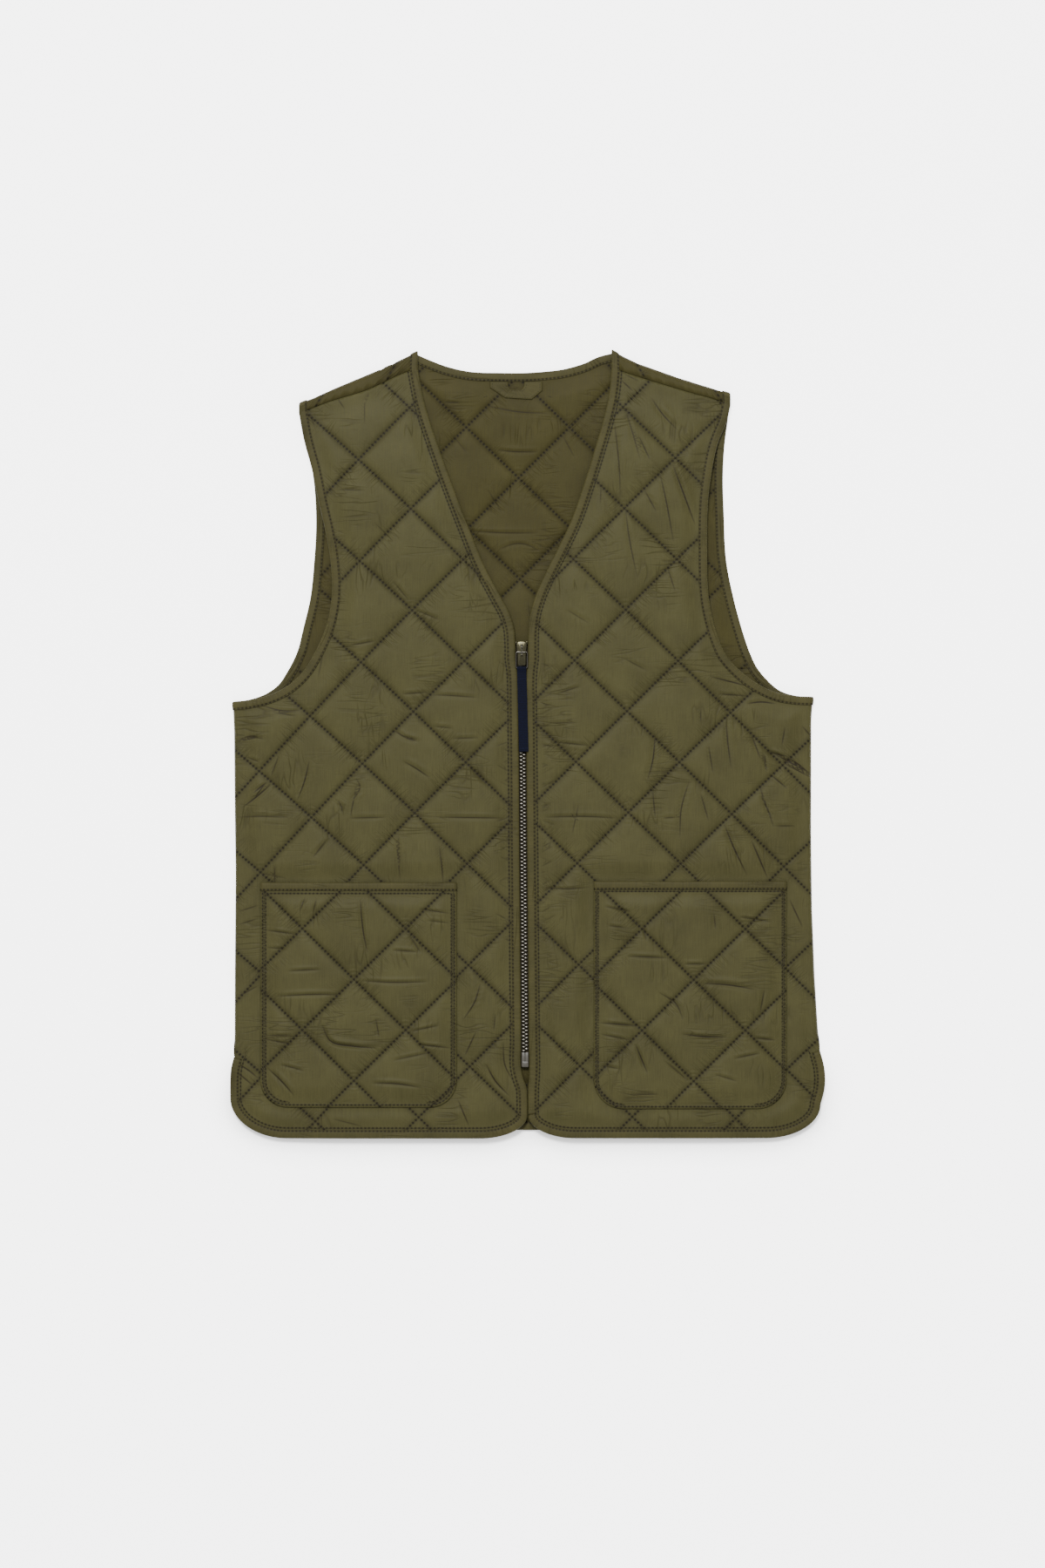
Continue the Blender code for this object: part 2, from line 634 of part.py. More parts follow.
def back_outline():
    """The back's cut outline, anticlockwise."""
    stretches = [cut_edge(back_hem_path())]
    right_arm, left_arm = (armhole_cut(back_armhole_path(side), side) for side in ("right", "left"))
    neck = cut_edge(back_neck_path())[::-1]
    neck[[0, -1], 1] -= GAP / 2
    right_seam, left_seam = (shoulder_seam_back(side) - np.array([0, GAP / 2]) for side in ("right", "left"))
    stretches += [side_seam("right")[::-1][1:-1], right_arm[::-1], right_seam[1:-1], neck]
    stretches += [left_seam[::-1][1:-1], left_arm, side_seam("left")[1:-1]]
    return chain(*stretches)


def build_front(side, material, collection):
    """A front: bound at the armhole, neck, zip edge, hem and vent, sewn at the shoulder and side."""
    name = f"front_{side}"
    crossing, loop, pocket = QUILT_CROSSING[name], front_outline(side), pocket_outline(side, 2.0)

    def quilted(points):
        fade = ease((distance_to(points, loop) - PRESSED + EDGE_INSET) / FADE)
        outside = np.where(inside(points, pocket), 0, distance_to(points, pocket))
        return WALL / 2 + PUFF * quilt_height(points, crossing, QUILT_LEAN) * fade * ease(outside / FADE)

    nodes = fine_points(loop, crossing, QUILT_LEAN, QUILT_CUTS, PRESSED + 3)
    nodes = nodes[~inside(nodes, pocket) & (distance_to(nodes, pocket) > 3)]
    coarse = fine_points(loop, crossing, QUILT_LEAN, 2, 9)
    nodes = np.concatenate([nodes, coarse[inside(coarse, pocket) & (distance_to(coarse, pocket) > 6)]])
    pressed = closed(inset(loop, PRESSED - EDGE_INSET))
    lines = [quilt_seams(loop, crossing, QUILT_LEAN) + [pressed, closed(pocket)], roll_creases(side)]
    return wall(name, loop, lay_front(side), [quilted, plain_face], lines, [nodes, coarse], material, collection)


def build_back(material, collection):
    """The back: quilted on the side that shows, flat where it rests, and turned over at both shoulders."""
    crossing, loop, hanger = QUILT_CROSSING["back"], back_outline(), np.array(LOOP_OUTER + LOOP_INNER)

    def from_folds(points):
        past = np.maximum(roll_past("left", points), roll_past("right", points))
        return np.minimum(-past, shoulder_fold(points[:, 0]) - points[:, 1])

    def quilted(points):
        fade = ease((distance_to(points, loop) - PRESSED + EDGE_INSET) / FADE)
        fade = fade * ease((from_folds(points) - 4) / FADE)
        outside = np.where(inside(points, hanger), 0, distance_to(points, hanger))
        return -WALL / 2 - PUFF * quilt_height(points, crossing, QUILT_LEAN) * fade * ease(outside / FADE)

    def resting(points):
        clear = np.minimum((distance_to(points, loop) - 8) / 6, from_folds(points) / 6)
        return WALL / 2 + (BACK_MIDDLE - WALL / 2) * ease(clear)

    nodes = fine_points(loop, crossing, QUILT_LEAN, QUILT_CUTS, PRESSED + 3)
    nodes = nodes[from_folds(nodes) > 4]
    coarse = fine_points(loop, crossing, QUILT_LEAN, 1, 20)
    coarse = coarse[from_folds(coarse) > 12]
    pressed, rested = closed(inset(loop, PRESSED - EDGE_INSET)), inset(loop, 14.0)
    coarse = np.concatenate([coarse, rested[(from_folds(rested) > 6)]])
    folds = roll_creases("left") + roll_creases("right") + shoulder_creases("left") + shoulder_creases("right")
    lines = [quilt_seams(loop, crossing, QUILT_LEAN) + [closed(hanger)], folds + [pressed]]
    return wall("back", loop, lay_back, [quilted, resting], lines, [nodes, coarse], material, collection)


def build_pocket(side, shell, trim, collection):
    """A patch pocket and the binding along its mouth."""
    name = f"pocket_{side}"
    crossing, loop, place = QUILT_CROSSING[name], pocket_outline(side, 0, EDGE_INSET), lay_pocket(side)

    def quilted(points):
        fade = ease((distance_to(points, loop) - 2) / FADE)
        fade = fade * ease((POCKETS[side][2] - points[:, 1] - PRESSED) / FADE)
        return WALL / 2 + PUFF * quilt_height(points, crossing, 0) * fade

    nodes = fine_points(loop, crossing, 0, QUILT_CUTS, 6)
    nodes = nodes[nodes[:, 1] < POCKETS[side][2] - PRESSED - 3]
    coarse = fine_points(loop, crossing, 0, 2, 8)
    left, right, top = POCKETS[side][:3]
    coarse = coarse[coarse[:, 1] < top - PRESSED - 6]
    pressed = smooth([(left, top - PRESSED), (right, top - PRESSED)], 24)
    lines = [quilt_seams(loop, crossing, 0), [pressed]]
    wall(name, loop, place, [quilted, plain_face], lines, [nodes, coarse], shell, collection)
    mouth = smooth([(right, top), (left, top)], 24)
    sections = binding_sections((mouth, inward(mouth, True)), place)
    loft(f"pocket_binding_{side}", sections, False, trim, collection)


def build_bindings(trim, collection):
    """The strip from vent to vent round the fronts and neck, the back's hem, and a ring round each armhole."""
    left = binding_sections(front_lower_path("left"), lay_front("left"))
    neck = binding_sections(back_neck_path(), lay_back)[1:-1]
    right = binding_sections(front_lower_path("right"), lay_front("right"))[::-1]
    loft("binding_front_neck", np.concatenate([left, neck, right]), False, trim, collection)
    loft("binding_back_hem", binding_sections(back_hem_path(), lay_back), False, trim, collection)
    for side in ("left", "right"):
        front = binding_sections(front_armhole_path(side), lay_front(side))
        back = binding_sections(back_armhole_path(side), lay_back)[::-1][1:-1]
        loft(f"armhole_binding_{side}", np.concatenate([front, back]), True, trim, collection)


def build_hanger(trim, collection):
    """The flat folded strip sewn inside the back neck."""
    low = WALL / 2 + GAP
    faces = [lambda points: np.full(len(points), -low - LOOP_THICK), lambda points: np.full(len(points), -low)]
    loop = np.array(LOOP_OUTER + LOOP_INNER)
    wall("hanger_loop", loop, lay_back, faces, [[], []], [[], []], trim, collection)


def zip_x(y):
    return ZIP_TOP_X + ZIP_LEAN * (y - ZIP_TOP)


def zip_box(name, offset, size, top, bottom_z, bevel, material, collection):
    """A box that lies along the zip, its middle offset from the zip's line, from y = top down by its length."""
    work = bmesh.new()
    bmesh.ops.create_cube(work, size=1)
    bmesh.ops.scale(work, verts=work.verts, vec=Vector(size) * MM)
    mesh = bpy.data.meshes.new(name)
    work.to_mesh(mesh)
    work.free()
    mesh.materials.append(material)
    item = bpy.data.objects.new(name, mesh)
    middle = top - size[1] / 2
    item.location = Vector((zip_x(middle) + offset, middle, bottom_z + size[2] / 2)) * MM
    item.rotation_euler.z = -math.atan(ZIP_LEAN)
    edges = item.modifiers.new("rounded edges", "BEVEL")
    edges.width = bevel * MM
    edges.segments = 1
    collection.objects.link(item)
    return item


def extrude_profile(name, profile, half_width, centre, material, collection):
    """A solid with this outline in the YZ plane, its half width and middle given along Y."""
    y, z = np.array(profile).T
    sides = [np.stack([centre(y) + sign * half_width(y), y, z], 1) for sign in (-1, 1)]
    return loft(name, np.stack(sides), False, material, collection)


def wire(name, points, radius, cyclic, material, collection):
    """A round wire through points in millimetres."""
    curve = bpy.data.curves.new(name, "CURVE")
    curve.dimensions = "3D"
    curve.bevel_depth = radius * MM
    curve.bevel_resolution = 2
    curve.use_fill_caps = True
    spline = curve.splines.new("POLY")
    spline.points.add(len(points) - 1)
    for row, point in zip(spline.points, points):
        row.co = (*(np.array(point) * MM), 1)
    spline.use_cyclic_u = cyclic
    curve.materials.append(material)
    item = bpy.data.objects.new(name, curve)
    collection.objects.link(item)
    return item


def build_zip(metal, plastic, woven, collection):
    """Two tapes under the fronts' edges, the closed chain, its box, the slider with its bail, and the puller."""
    length = ZIP_TOP - ZIP_BOTTOM
    low = TAPE_TOP_Z + GAP
    tape_length = length + BOX_LENGTH
    tape = (TAPE_WIDTH, tape_length, TAPE_THICK)
    for side, sign in SIDE_SIGN.items():
        offset = sign * (TAPE_WIDTH / 2 + GAP)
        tape_low = TAPE_TOP_Z - TAPE_THICK
        zip_box(f"zip_tape_{side}", offset, tape, ZIP_TOP, tape_low, 0.1, woven, collection)
    zip_box("zip_chain", 0, (CHAIN_WIDTH, length, CHAIN_THICK), ZIP_TOP, low, 0.4, metal, collection)
    box = (BOX_WIDTH, BOX_LENGTH, BOX_THICK)
    zip_box("zip_bottom_box", 0, box, ZIP_BOTTOM - GAP, low, 0.5, plastic, collection)
    far = SLIDER_LOW + SLIDER_LENGTH
    neck = far - SLIDER_NECK
    under = TAPE_TOP_Z - TAPE_THICK - GAP
    profile = [
        (SLIDER_LOW, PLATE_TOP_Z),
        (far, PLATE_TOP_Z),
        (far, under - PLATE_THICK),
        (SLIDER_LOW, under - PLATE_THICK),
        (SLIDER_LOW, under),
        (neck, under),
        (neck, PLATE_TOP_Z - PLATE_THICK),
        (SLIDER_LOW, PLATE_TOP_Z - PLATE_THICK),
    ]

    def slider_half(y):
        return np.interp(y, [SLIDER_LOW, far], [SLIDER_HALF_LOW, SLIDER_HALF_HIGH])

    extrude_profile("zip_slider", profile, slider_half, zip_x, metal, collection)
    x = zip_x(PULL_AXIS_Y)
    foot, rise = PLATE_TOP_Z + GAP, BAIL_TOP_Z - 1.2
    bail = [(BAIL_LOW, foot), (BAIL_LOW, rise), (BAIL_LOW + 1.2, BAIL_TOP_Z)]
    bail += [(BAIL_HIGH - 1.2, BAIL_TOP_Z), (BAIL_HIGH, rise), (BAIL_HIGH, foot)]
    wire("slider_bail", [(x, y, z) for y, z in bail], BAIL_WIRE, False, metal, collection)
    lower = PULL_AXIS_Y - PULL_LENGTH
    ring = [corner((PULL_HALF - 1.2, PULL_AXIS_Y - 1.2), (1.2, 1.2), 0, 90, 4)]
    ring += [corner((1.2 - PULL_HALF, PULL_AXIS_Y - 1.2), (1.2, 1.2), 90, 180, 4)]
    ring += [corner((1.2 - PULL_HALF, lower + 1.2), (1.2, 1.2), 180, 270, 4)]
    ring += [corner((PULL_HALF - 1.2, lower + 1.2), (1.2, 1.2), 270, 360, 4)]
    ring = [(x + px, py, PULL_AXIS_Z) for px, py in np.concatenate(ring)]
    wire("zip_puller", ring, PULL_WIRE, True, metal, collection)
    build_pull_tape(lower, woven, collection)


def build_pull_tape(bar_y, woven, collection):
    """The doubled tape, hooked round the puller's lower bar and lying down the zip."""
    inner = PULL_WIRE + GAP
    outer = inner + PULL_TAPE_LAYER
    low = PULL_AXIS_Z - outer
    bar = (bar_y, PULL_AXIS_Z)
    profile = [(PULL_TAPE_END, low)] + list(corner(bar, (outer, outer), -90, 200, 11))
    profile += list(corner(bar, (inner, inner), 200, -90, 11))
    profile += [(bar_y - 3.5, low + PULL_TAPE_LAYER), (bar_y - 7, low + 2 * PULL_TAPE_LAYER)]
    profile += [(PULL_TAPE_END, low + 2 * PULL_TAPE_LAYER)]

    def half(y):
        return np.full(len(y), PULL_TAPE_HALF)

    def middle(y):
        return zip_x(PULL_AXIS_Y) + PULL_TAPE_LEAN * (y - bar_y)

    extrude_profile("pull_tape", profile, half, middle, woven, collection)


def main():
    clear_scene()
    collection = make_collection("quilted_vest")
    shell = make_material("quilted_shell", OLIVE, 0.5)
    trim = make_material("bias_binding", OLIVE_BINDING, 0.55)
    metal = make_material("nickel", NICKEL, 0.3, 1.0)
    plastic = make_material("dark_plastic", OLIVE_BINDING, 0.4)
    woven = make_material("woven_tape", OLIVE_BINDING, 0.8)
    navy = make_material("navy_tape", NAVY, 0.8)
    build_back(shell, collection)
    for side in ("left", "right"):
        build_front(side, shell, collection)
        build_pocket(side, shell, trim, collection)
    build_bindings(trim, collection)
    build_hanger(trim, collection)
    build_zip(metal, plastic, woven, collection)
    collection.objects["pull_tape"].data.materials[0] = navy


main()
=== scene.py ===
"""The looks of a quilted vest laid flat on its back: cloth, sewing, zip, camera and light.

The vest is sewn from the same outlines as its solids, in millimetres, with +Y towards the neck and left and
right as the viewer sees them. Each panel is a fine net whose lines follow the quilting; it is raised into puffs
and creases and then laid in place.
"""

import math

import bpy
import numpy as np
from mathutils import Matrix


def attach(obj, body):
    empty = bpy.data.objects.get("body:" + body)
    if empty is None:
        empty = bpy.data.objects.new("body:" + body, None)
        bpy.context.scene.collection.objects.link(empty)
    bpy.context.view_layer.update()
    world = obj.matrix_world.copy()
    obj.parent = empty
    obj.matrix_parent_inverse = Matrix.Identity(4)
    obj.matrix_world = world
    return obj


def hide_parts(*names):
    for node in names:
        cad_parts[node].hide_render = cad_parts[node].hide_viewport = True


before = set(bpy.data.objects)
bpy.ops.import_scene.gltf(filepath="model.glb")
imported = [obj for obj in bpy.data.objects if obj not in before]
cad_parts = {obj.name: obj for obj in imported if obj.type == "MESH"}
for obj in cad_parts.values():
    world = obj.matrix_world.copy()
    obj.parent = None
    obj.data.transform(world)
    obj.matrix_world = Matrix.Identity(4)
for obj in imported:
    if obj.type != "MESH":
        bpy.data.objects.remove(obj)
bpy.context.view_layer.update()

MM = 0.001
STEP = 3.0  # distance between points along an edge

# Cloth, in millimetres
WALL = 1.4
PUFF = 2.6  # how far the wadding stands above its seams
GAP = 0.3  # left between pieces that lie together
BINDING_LEG = 0.7  # thickness of a binding's strip
BINDING_WIDTH = 7.5
BINDING_HALF = WALL / 2 + GAP + BINDING_LEG
EDGE_INSET = BINDING_LEG + GAP
PRESSED = BINDING_WIDTH + 1.0  # the wadding is pressed flat this far in from a bound edge
FADE = 16.0  # distance over which the puffs fade out at an edge
ROLL = 2.3  # radius at which the cloth turns over at the sides and shoulders
ROLL_OUTER = ROLL + WALL / 2
ROLL_ARC = ROLL * math.pi / 2
ROLL_LEVELS = [ROLL_ARC * step / 6 for step in range(6)]
SHOULDER_LEVELS = [ROLL * math.pi * step / 12 for step in range(13)]
CREST_REACH = 1.9  # points this near the crest of the shoulder's roll are moved onto it
NEAR_ROLL = 6.0  # this near to a side's roll, cells are split the other way and no stitch shows
VENT_OPENING = 18.0  # length over which the side's roll opens out above a vent
BACK_MIDDLE = BINDING_HALF  # height of the middle of the back's wall
FRONT_MIDDLE = BACK_MIDDLE + 2 * ROLL
LOFT, LOFT_REACH = 3.6, 100.0  # how far the fronts rise from their seams, and over what distance
SHOULDER_CALM, SHOULDER_CALM_REACH = 0.7, 30.0  # share of the puffs lost at the shoulder seam, and its reach

# Quilting: half-diagonals of a diamond, the distance between seams and the lean of its upright diagonals
QUILT_X, QUILT_Y = 45.6, 44.7
QUILT_PITCH = 2 * QUILT_X * QUILT_Y / math.hypot(QUILT_X, QUILT_Y)
QUILT_LEAN = -0.013
# How far it hangs down at the left and right side, from and to which distance from the middle, and its curve
DROOP, DROOP_FROM, DROOP_TO, DROOP_CURVE = (9.0, 4.0), 104.0, 250.0, 1.6
# Columns: x and y of a crossing of two seams, lean
QUILTS = {
    "front_left": (-102.0, 117.4, QUILT_LEAN),
    "front_right": (86.4, 117.8, QUILT_LEAN),
    "back": (-8.1, 234.5, QUILT_LEAN),
    "pocket_left": (-153.2, -208.0, 0),
    "pocket_right": (146.3, -208.3, 0),
}
GROOVE = 3.4  # how quickly the wadding rises beside a seam
CROWN = 0.30  # share of a puff's height that is its rounded crown
PUCKER, PUCKER_PITCH, PUCKER_REACH = 0.17, 5.0, 3.6  # ripples square to a seam
ARC, ARC_PITCH, ARC_PLACE, ARC_SPREAD = 0.30, 3.2, 6.5, 4.2  # arcs above and below a crossing
EDGE_LOOSE = 0.15  # share of the creases and swells that stays where a front or pocket is pressed flat

# Sewing, drawn coarser than real thread so that it shows. Columns of a stitch: length, thickness.
STITCHES = 18  # along a diamond's side, where 26 are real
QUILT_STITCH = (1.8, 0.62)
EDGE_STITCH = (1.7, 0.55)
SEW_PITCH = 3.4  # of an edge seam, where 2.5 is real
SEW_DEPTH = 0.95  # how far a binding's row of stitches lies from its inner edge
SEW_SINK = 0.24  # how far that row is drawn into the binding
FAR = 99.0  # marks a place with no edge seam near

# The nets of the panels
SEAM_DENSITY = 0.32  # how much closer the net's lines lie at the seams
NET = {"front": 34, "back": 20, "pocket": 50}  # the net's lines to a diamond's side
NECK_NET, NECK_REACH = 34, (-2, 1)  # the back's net is closer in these diamonds, where it shows inside the neck

# Outlines as laid, to the outer edge of the binding. Columns: x, y.
SIDE_SEAM = {
    "left": [(-260.3, 36.8), (-259.3, 10), (-258.7, -60), (-258, -115), (-258.7, -200), (-258.9, -277)],
    "right": [(251.8, 41.2), (250.4, 20), (250.3, -80), (251, -145), (253.3, -205), (257.4, -271)],
}
FRONT_ARMHOLE = {
    "left": [(-202, 292), (-198, 270), (-190, 240), (-184.8, 214.5), (-178.6, 187.5), (-174, 160.5), (-173.3, 126),
             (-178, 103), (-187, 82), (-199, 62.5), (-212.5, 50.5), (-228, 42.7), (-245, 38.5), (-260.9, 36.8)],
    "right": [(179, 298.4), (176, 285), (168.6, 266.8), (161, 230.6), (158.2, 173), (161.7, 116.7),
              (168, 93.6), (175, 78), (183.5, 68), (205.6, 51.2), (219.5, 45), (235, 42), (252.4, 41.2)],
}
BACK_ARMHOLE = {
    "left": [(-200.5, 285), (-195.6, 264.5), (-190.2, 240), (-187.5, 214), (-187.1, 187.5), (-188.7, 160.5),
             (-192.5, 126), (-198, 103), (-204, 80), (-212, 64), (-221, 51), (-232, 43.5), (-245.5, 38.8),
             (-260.9, 36.8)],
    "right": [(177, 287.6), (174, 264.5), (172.5, 237.5), (173.3, 203), (175.6, 160.5),
              (182.5, 126), (188.7, 103), (196.4, 80), (202, 68), (211, 56.6), (224, 46), (237, 42.2),
              (252.4, 41.2)],
}
SHOULDER_FOLD = [
    (-230, 291.5), (-203.3, 299.5), (-189.4, 304.8), (-170.9, 313.3), (-134, 328.7), (-115.5, 337.1),
    (-100.1, 344.6), (-90, 349.6), (66, 352), (75.5, 346.6), (80, 344), (87.8, 340), (97, 335.6),
    (134, 322.5), (170.9, 311), (181.7, 308), (210, 300),
]
SHOULDER_SEAM = {
    "left": [(-202, 292), (-193.3, 294.8), (-175.6, 301.5), (-143.2, 311.5), (-107.8, 327.6), (-97, 331.5)],
    "right": [(179, 298.4), (171.6, 301.5), (142.5, 310), (114, 318.6), (81.6, 329.2), (74, 332.5)],
}
BACK_NECK = [
    (-88, 339.2), (-69.3, 332.3), (-50.8, 328.4), (-25, 327.4), (-4.6, 327.3), (14, 328.4),
    (32.3, 330.7), (50.8, 336.1), (63, 341.7),
]
NECKLINE = {
    "left": [(-97, 331.5), (-91.2, 301.5), (-79, 263), (-67.4, 230.6), (-52, 190.6), (-38.5, 157.5),
             (-24, 130), (-16, 115), (-12.2, 102.8), (-10.9, 88), (-10.7, 74)],
    "right": [(74, 332.5), (72, 310.7), (67, 287.6), (58.5, 257.6), (48.9, 226.8), (37.3, 194.4),
              (26.2, 171.3), (14.6, 148.2), (5.6, 126.7), (1.8, 112.8), (0.4, 100), (0.1, 88), (0.2, 74)],
}
FRONT_EDGE = {
    "left": [(-10.7, 74), (-9.4, 66), (-8.7, 56), (-8.4, 36), (-7.2, -110), (-5.9, -262), (-5.6, -288),
             (-3.6, -296), (-1.0, -303), (-0.3, -312), (-0.2, -327.5)],
    "right": [(0.2, 74), (-1.0, 66), (-1.7, 56), (-1.5, 36), (-0.3, -110), (1.0, -262), (1.2, -288),
              (0.9, -296), (0.4, -303), (0.2, -312), (0.2, -327.5)],
}
VENT_EDGE = {
    "left": [(-259.5, -277), (-262, -288), (-262.6, -300), (-262.6, -312.4)],
    "right": [(258, -271), (261.8, -286), (262.6, -296), (261.8, -306), (258.5, -318.5)],
}
HEM = {"left": -348.4, "right": -348.2}
BACK_HEM = -341.5
BACK_VENT = {"left": -259.5, "right": 258.0}
FRONT_CORNER = (42.0, 21.0)
VENT_CORNER = {"left": (50.0, 36.0), "right": (48.0, 29.7)}
BACK_CORNER = (48.0, 34.0)
SIDE_SIGN = {"left": -1, "right": 1}
SIDES = ("left", "right")

# Pockets. Columns: left, right, top, bottom, corner radius.
POCKETS = {
    "left": (-236.0, -62.5, -122.5, -320.8, 24.0),
    "right": (58.2, 228.5, -121.5, -322.0, 26.0),
}
POCKET_MIDDLE = WALL + 0.5
POCKET_MOUTH = BINDING_HALF - WALL / 2 - 0.2
POCKET_MOUTH_REACH = 40.0

# Zip
ZIP_TOP, ZIP_TOP_X, ZIP_LEAN = 86.0, -5.4, -0.0085
ZIP_BOTTOM = -272.0
TAPE_TOP_Z = FRONT_MIDDLE + LOFT - BINDING_HALF - GAP
TAPE_WIDTH, TAPE_THICK = 14.0, 0.7
CHAIN_LOW, CHAIN_THICK = TAPE_TOP_Z + GAP, 2.4
TOOTH_PITCH = 3.2
BOX_LENGTH, BOX_WIDTH, BOX_THICK = 13.0, 6.0, 3.0
SLIDER_LOW, SLIDER_LENGTH, SLIDER_HALF_LOW, SLIDER_HALF_HIGH = 76.0, 14.0, 3.6, 4.7
LID_REACH = 7.5  # how far the slider's upper plate runs on under the ring
PLATE_THICK = 1.2
PLATE_TOP_Z = TAPE_TOP_Z + GAP + CHAIN_THICK + GAP + PLATE_THICK
BAIL_WIRE, BAIL_LOW, BAIL_HIGH, BAIL_TOP_Z = 0.6, 77.4, 86.6, PLATE_TOP_Z + 3.0
PULL_WIRE, PULL_HALF, PULL_LENGTH = 0.6, 5.0, 14.1
PULL_AXIS_Y, PULL_AXIS_Z = 80.5, PLATE_TOP_Z + 1.3
PULL_TAPE_HALF, PULL_TAPE_END, PULL_TAPE_LEAN = 4.1, -7.3, -0.026
PULL_TAPE_LAYER = 0.6

# Hanger loop, as the outer and inner edge of its strip. Columns: x, y.
LOOP_OUTER = [(-33.5, 319.4), (-33.3, 314.2), (-20, 305.3), (3.5, 303.8), (12.9, 311.7), (12.9, 319.4)]
LOOP_INNER = [(-17.5, 319.4), (-17.0, 315.5), (-15.5, 312.8), (-5.5, 312.4), (-3.6, 315.2), (-3.0, 319.4)]
LOOP_THICK = 1.2

# Stage, in metres, with power in watts. Columns of a light: name, place, size, power.
FLOOR_HALF, FLOOR_LEVEL = 3.0, -0.0004
FLOOR_GLOW = 2.5  # the sweep is lit from below, as for a cut-out picture
SHADOW_REACH, SHADOW_EDGES = 0.03, (-0.27, -0.34)  # the painted shadow below the hem grows between these heights down the floor
CAMERA_PLACE, CAMERA_LENS, CAMERA_SENSOR = (-0.0046, -0.0358, 3.85), 100.0, 36.0
WORLD_STRENGTH = 1.3
LIGHTS = [
    ("key_softbox", (-0.6, 2.6, 5.6), (1.6, 1.2), 780.0),
    ("fill_softbox", (0.6, -2.6, 2.8), (2.0, 1.4), 40.0),
]

# The photograph's picture units, in which creases are listed: size in millimetres and the frame's centre
UNIT, UNIT_CENTRE = 0.77, (606.0, 853.5)
FANS, FAN_PITCH = 44, 7.4  # short creases beside the zip
FAN_START = {"left": (586.0, 762.0), "right": (622.0, 762.0)}
CREASE_DEPTH = 1.8  # share of its listed depth that a crease is drawn with
CREASE_SHARPNESS = 0.5  # share of its listed half width

# Creases. Columns: depth and half width in millimetres, then the points of its line in picture units.
CREASES_LEFT = [
    (0.6, 2.6, (273, 938), (302, 937), (331, 938)), (0.6, 2.4, (401, 939), (444, 938)),
    (0.7, 2.6, (503, 938), (581, 939)), (0.5, 2.4, (419, 456), (419, 488)), (0.5, 2.4, (424, 452), (421, 462)),
    (0.5, 2.6, (388, 563), (419, 564)), (0.6, 2.4, (314, 818), (340, 822)), (0.7, 2.8, (271, 852), (303, 845)),
    (0.5, 2.4, (284, 869), (299, 875)), (1.2, 3.4, (279, 927), (296, 914), (312, 900)),
    (1.0, 3.0, (292, 910), (307, 898)), (0.9, 3.2, (356, 873), (350, 898), (342, 919)),
    (0.6, 2.6, (321, 867), (312, 891)), (0.5, 2.4, (390, 919), (394, 932)), (0.7, 3.0, (410, 901), (403, 938)),
    (0.6, 2.6, (360, 984), (377, 962)), (0.7, 3.0, (455, 960), (460, 1010)), (0.7, 2.8, (505, 971), (509, 1012)),
    (0.8, 3.2, (464, 874), (478, 882), (494, 893)), (0.5, 2.4, (464, 845), (479, 849)),
    (0.5, 2.4, (498, 834), (520, 836)), (0.6, 2.8, (496, 798), (522, 799), (548, 801)),
    (0.5, 3.4, (352, 640), (371, 664)), (0.5, 3.0, (476, 700), (505, 712)), (0.4, 3.2, (430, 600), (452, 622)),
    (0.5, 3.0, (372, 748), (366, 778)), (0.5, 3.2, (540, 880), (560, 902)), (0.4, 3.0, (300, 1002), (330, 1008)),
    (0.9, 2.8, (552, 1128), (545, 1150), (532, 1170)), (0.8, 2.8, (547, 1183), (534, 1211)),
    (0.6, 2.4, (569, 1163), (567, 1183)), (1.0, 3.0, (558, 1220), (569, 1240), (585, 1257)),
    (0.8, 2.6, (578, 1194), (580, 1222), (589, 1240)), (0.8, 2.8, (526, 1261), (539, 1292)),
    (0.6, 2.4, (275, 1046), (297, 1039)), (0.6, 2.4, (275, 1061), (297, 1054)), (0.6, 2.4, (277, 1142), (297, 1131)),
    (0.9, 2.6, (270, 1218), (290, 1231), (297, 1237)), (0.8, 2.6, (269, 1227), (292, 1246)),
    (0.5, 2.6, (382, 1283), (417, 1292)), (0.6, 2.6, (388, 458), (396, 470)), (0.5, 2.4, (356, 474), (362, 492)),
    (0.6, 2.4, (400, 742), (432, 736)), (0.5, 2.6, (452, 668), (470, 690)), (0.5, 2.4, (330, 760), (360, 764)),
    (0.8, 2.8, (301, 810), (324, 816), (345, 816)), (0.6, 2.4, (462, 797), (491, 795)),
    (0.7, 2.4, (409, 893), (414, 902), (406, 919)), (0.8, 2.4, (386, 917), (393, 925), (393, 934)),
    (0.8, 2.6, (360, 984), (380, 962)), (0.6, 2.4, (458, 958), (460, 993)), (0.7, 2.4, (508, 984), (509, 1013)),
    (0.7, 2.4, (316, 993), (316, 1015)), (0.5, 2.4, (519, 848), (550, 847)),
    (0.8, 2.8, (452, 838), (471, 849), (482, 851)), (0.7, 2.6, (270, 851), (292, 845), (303, 849)),
]
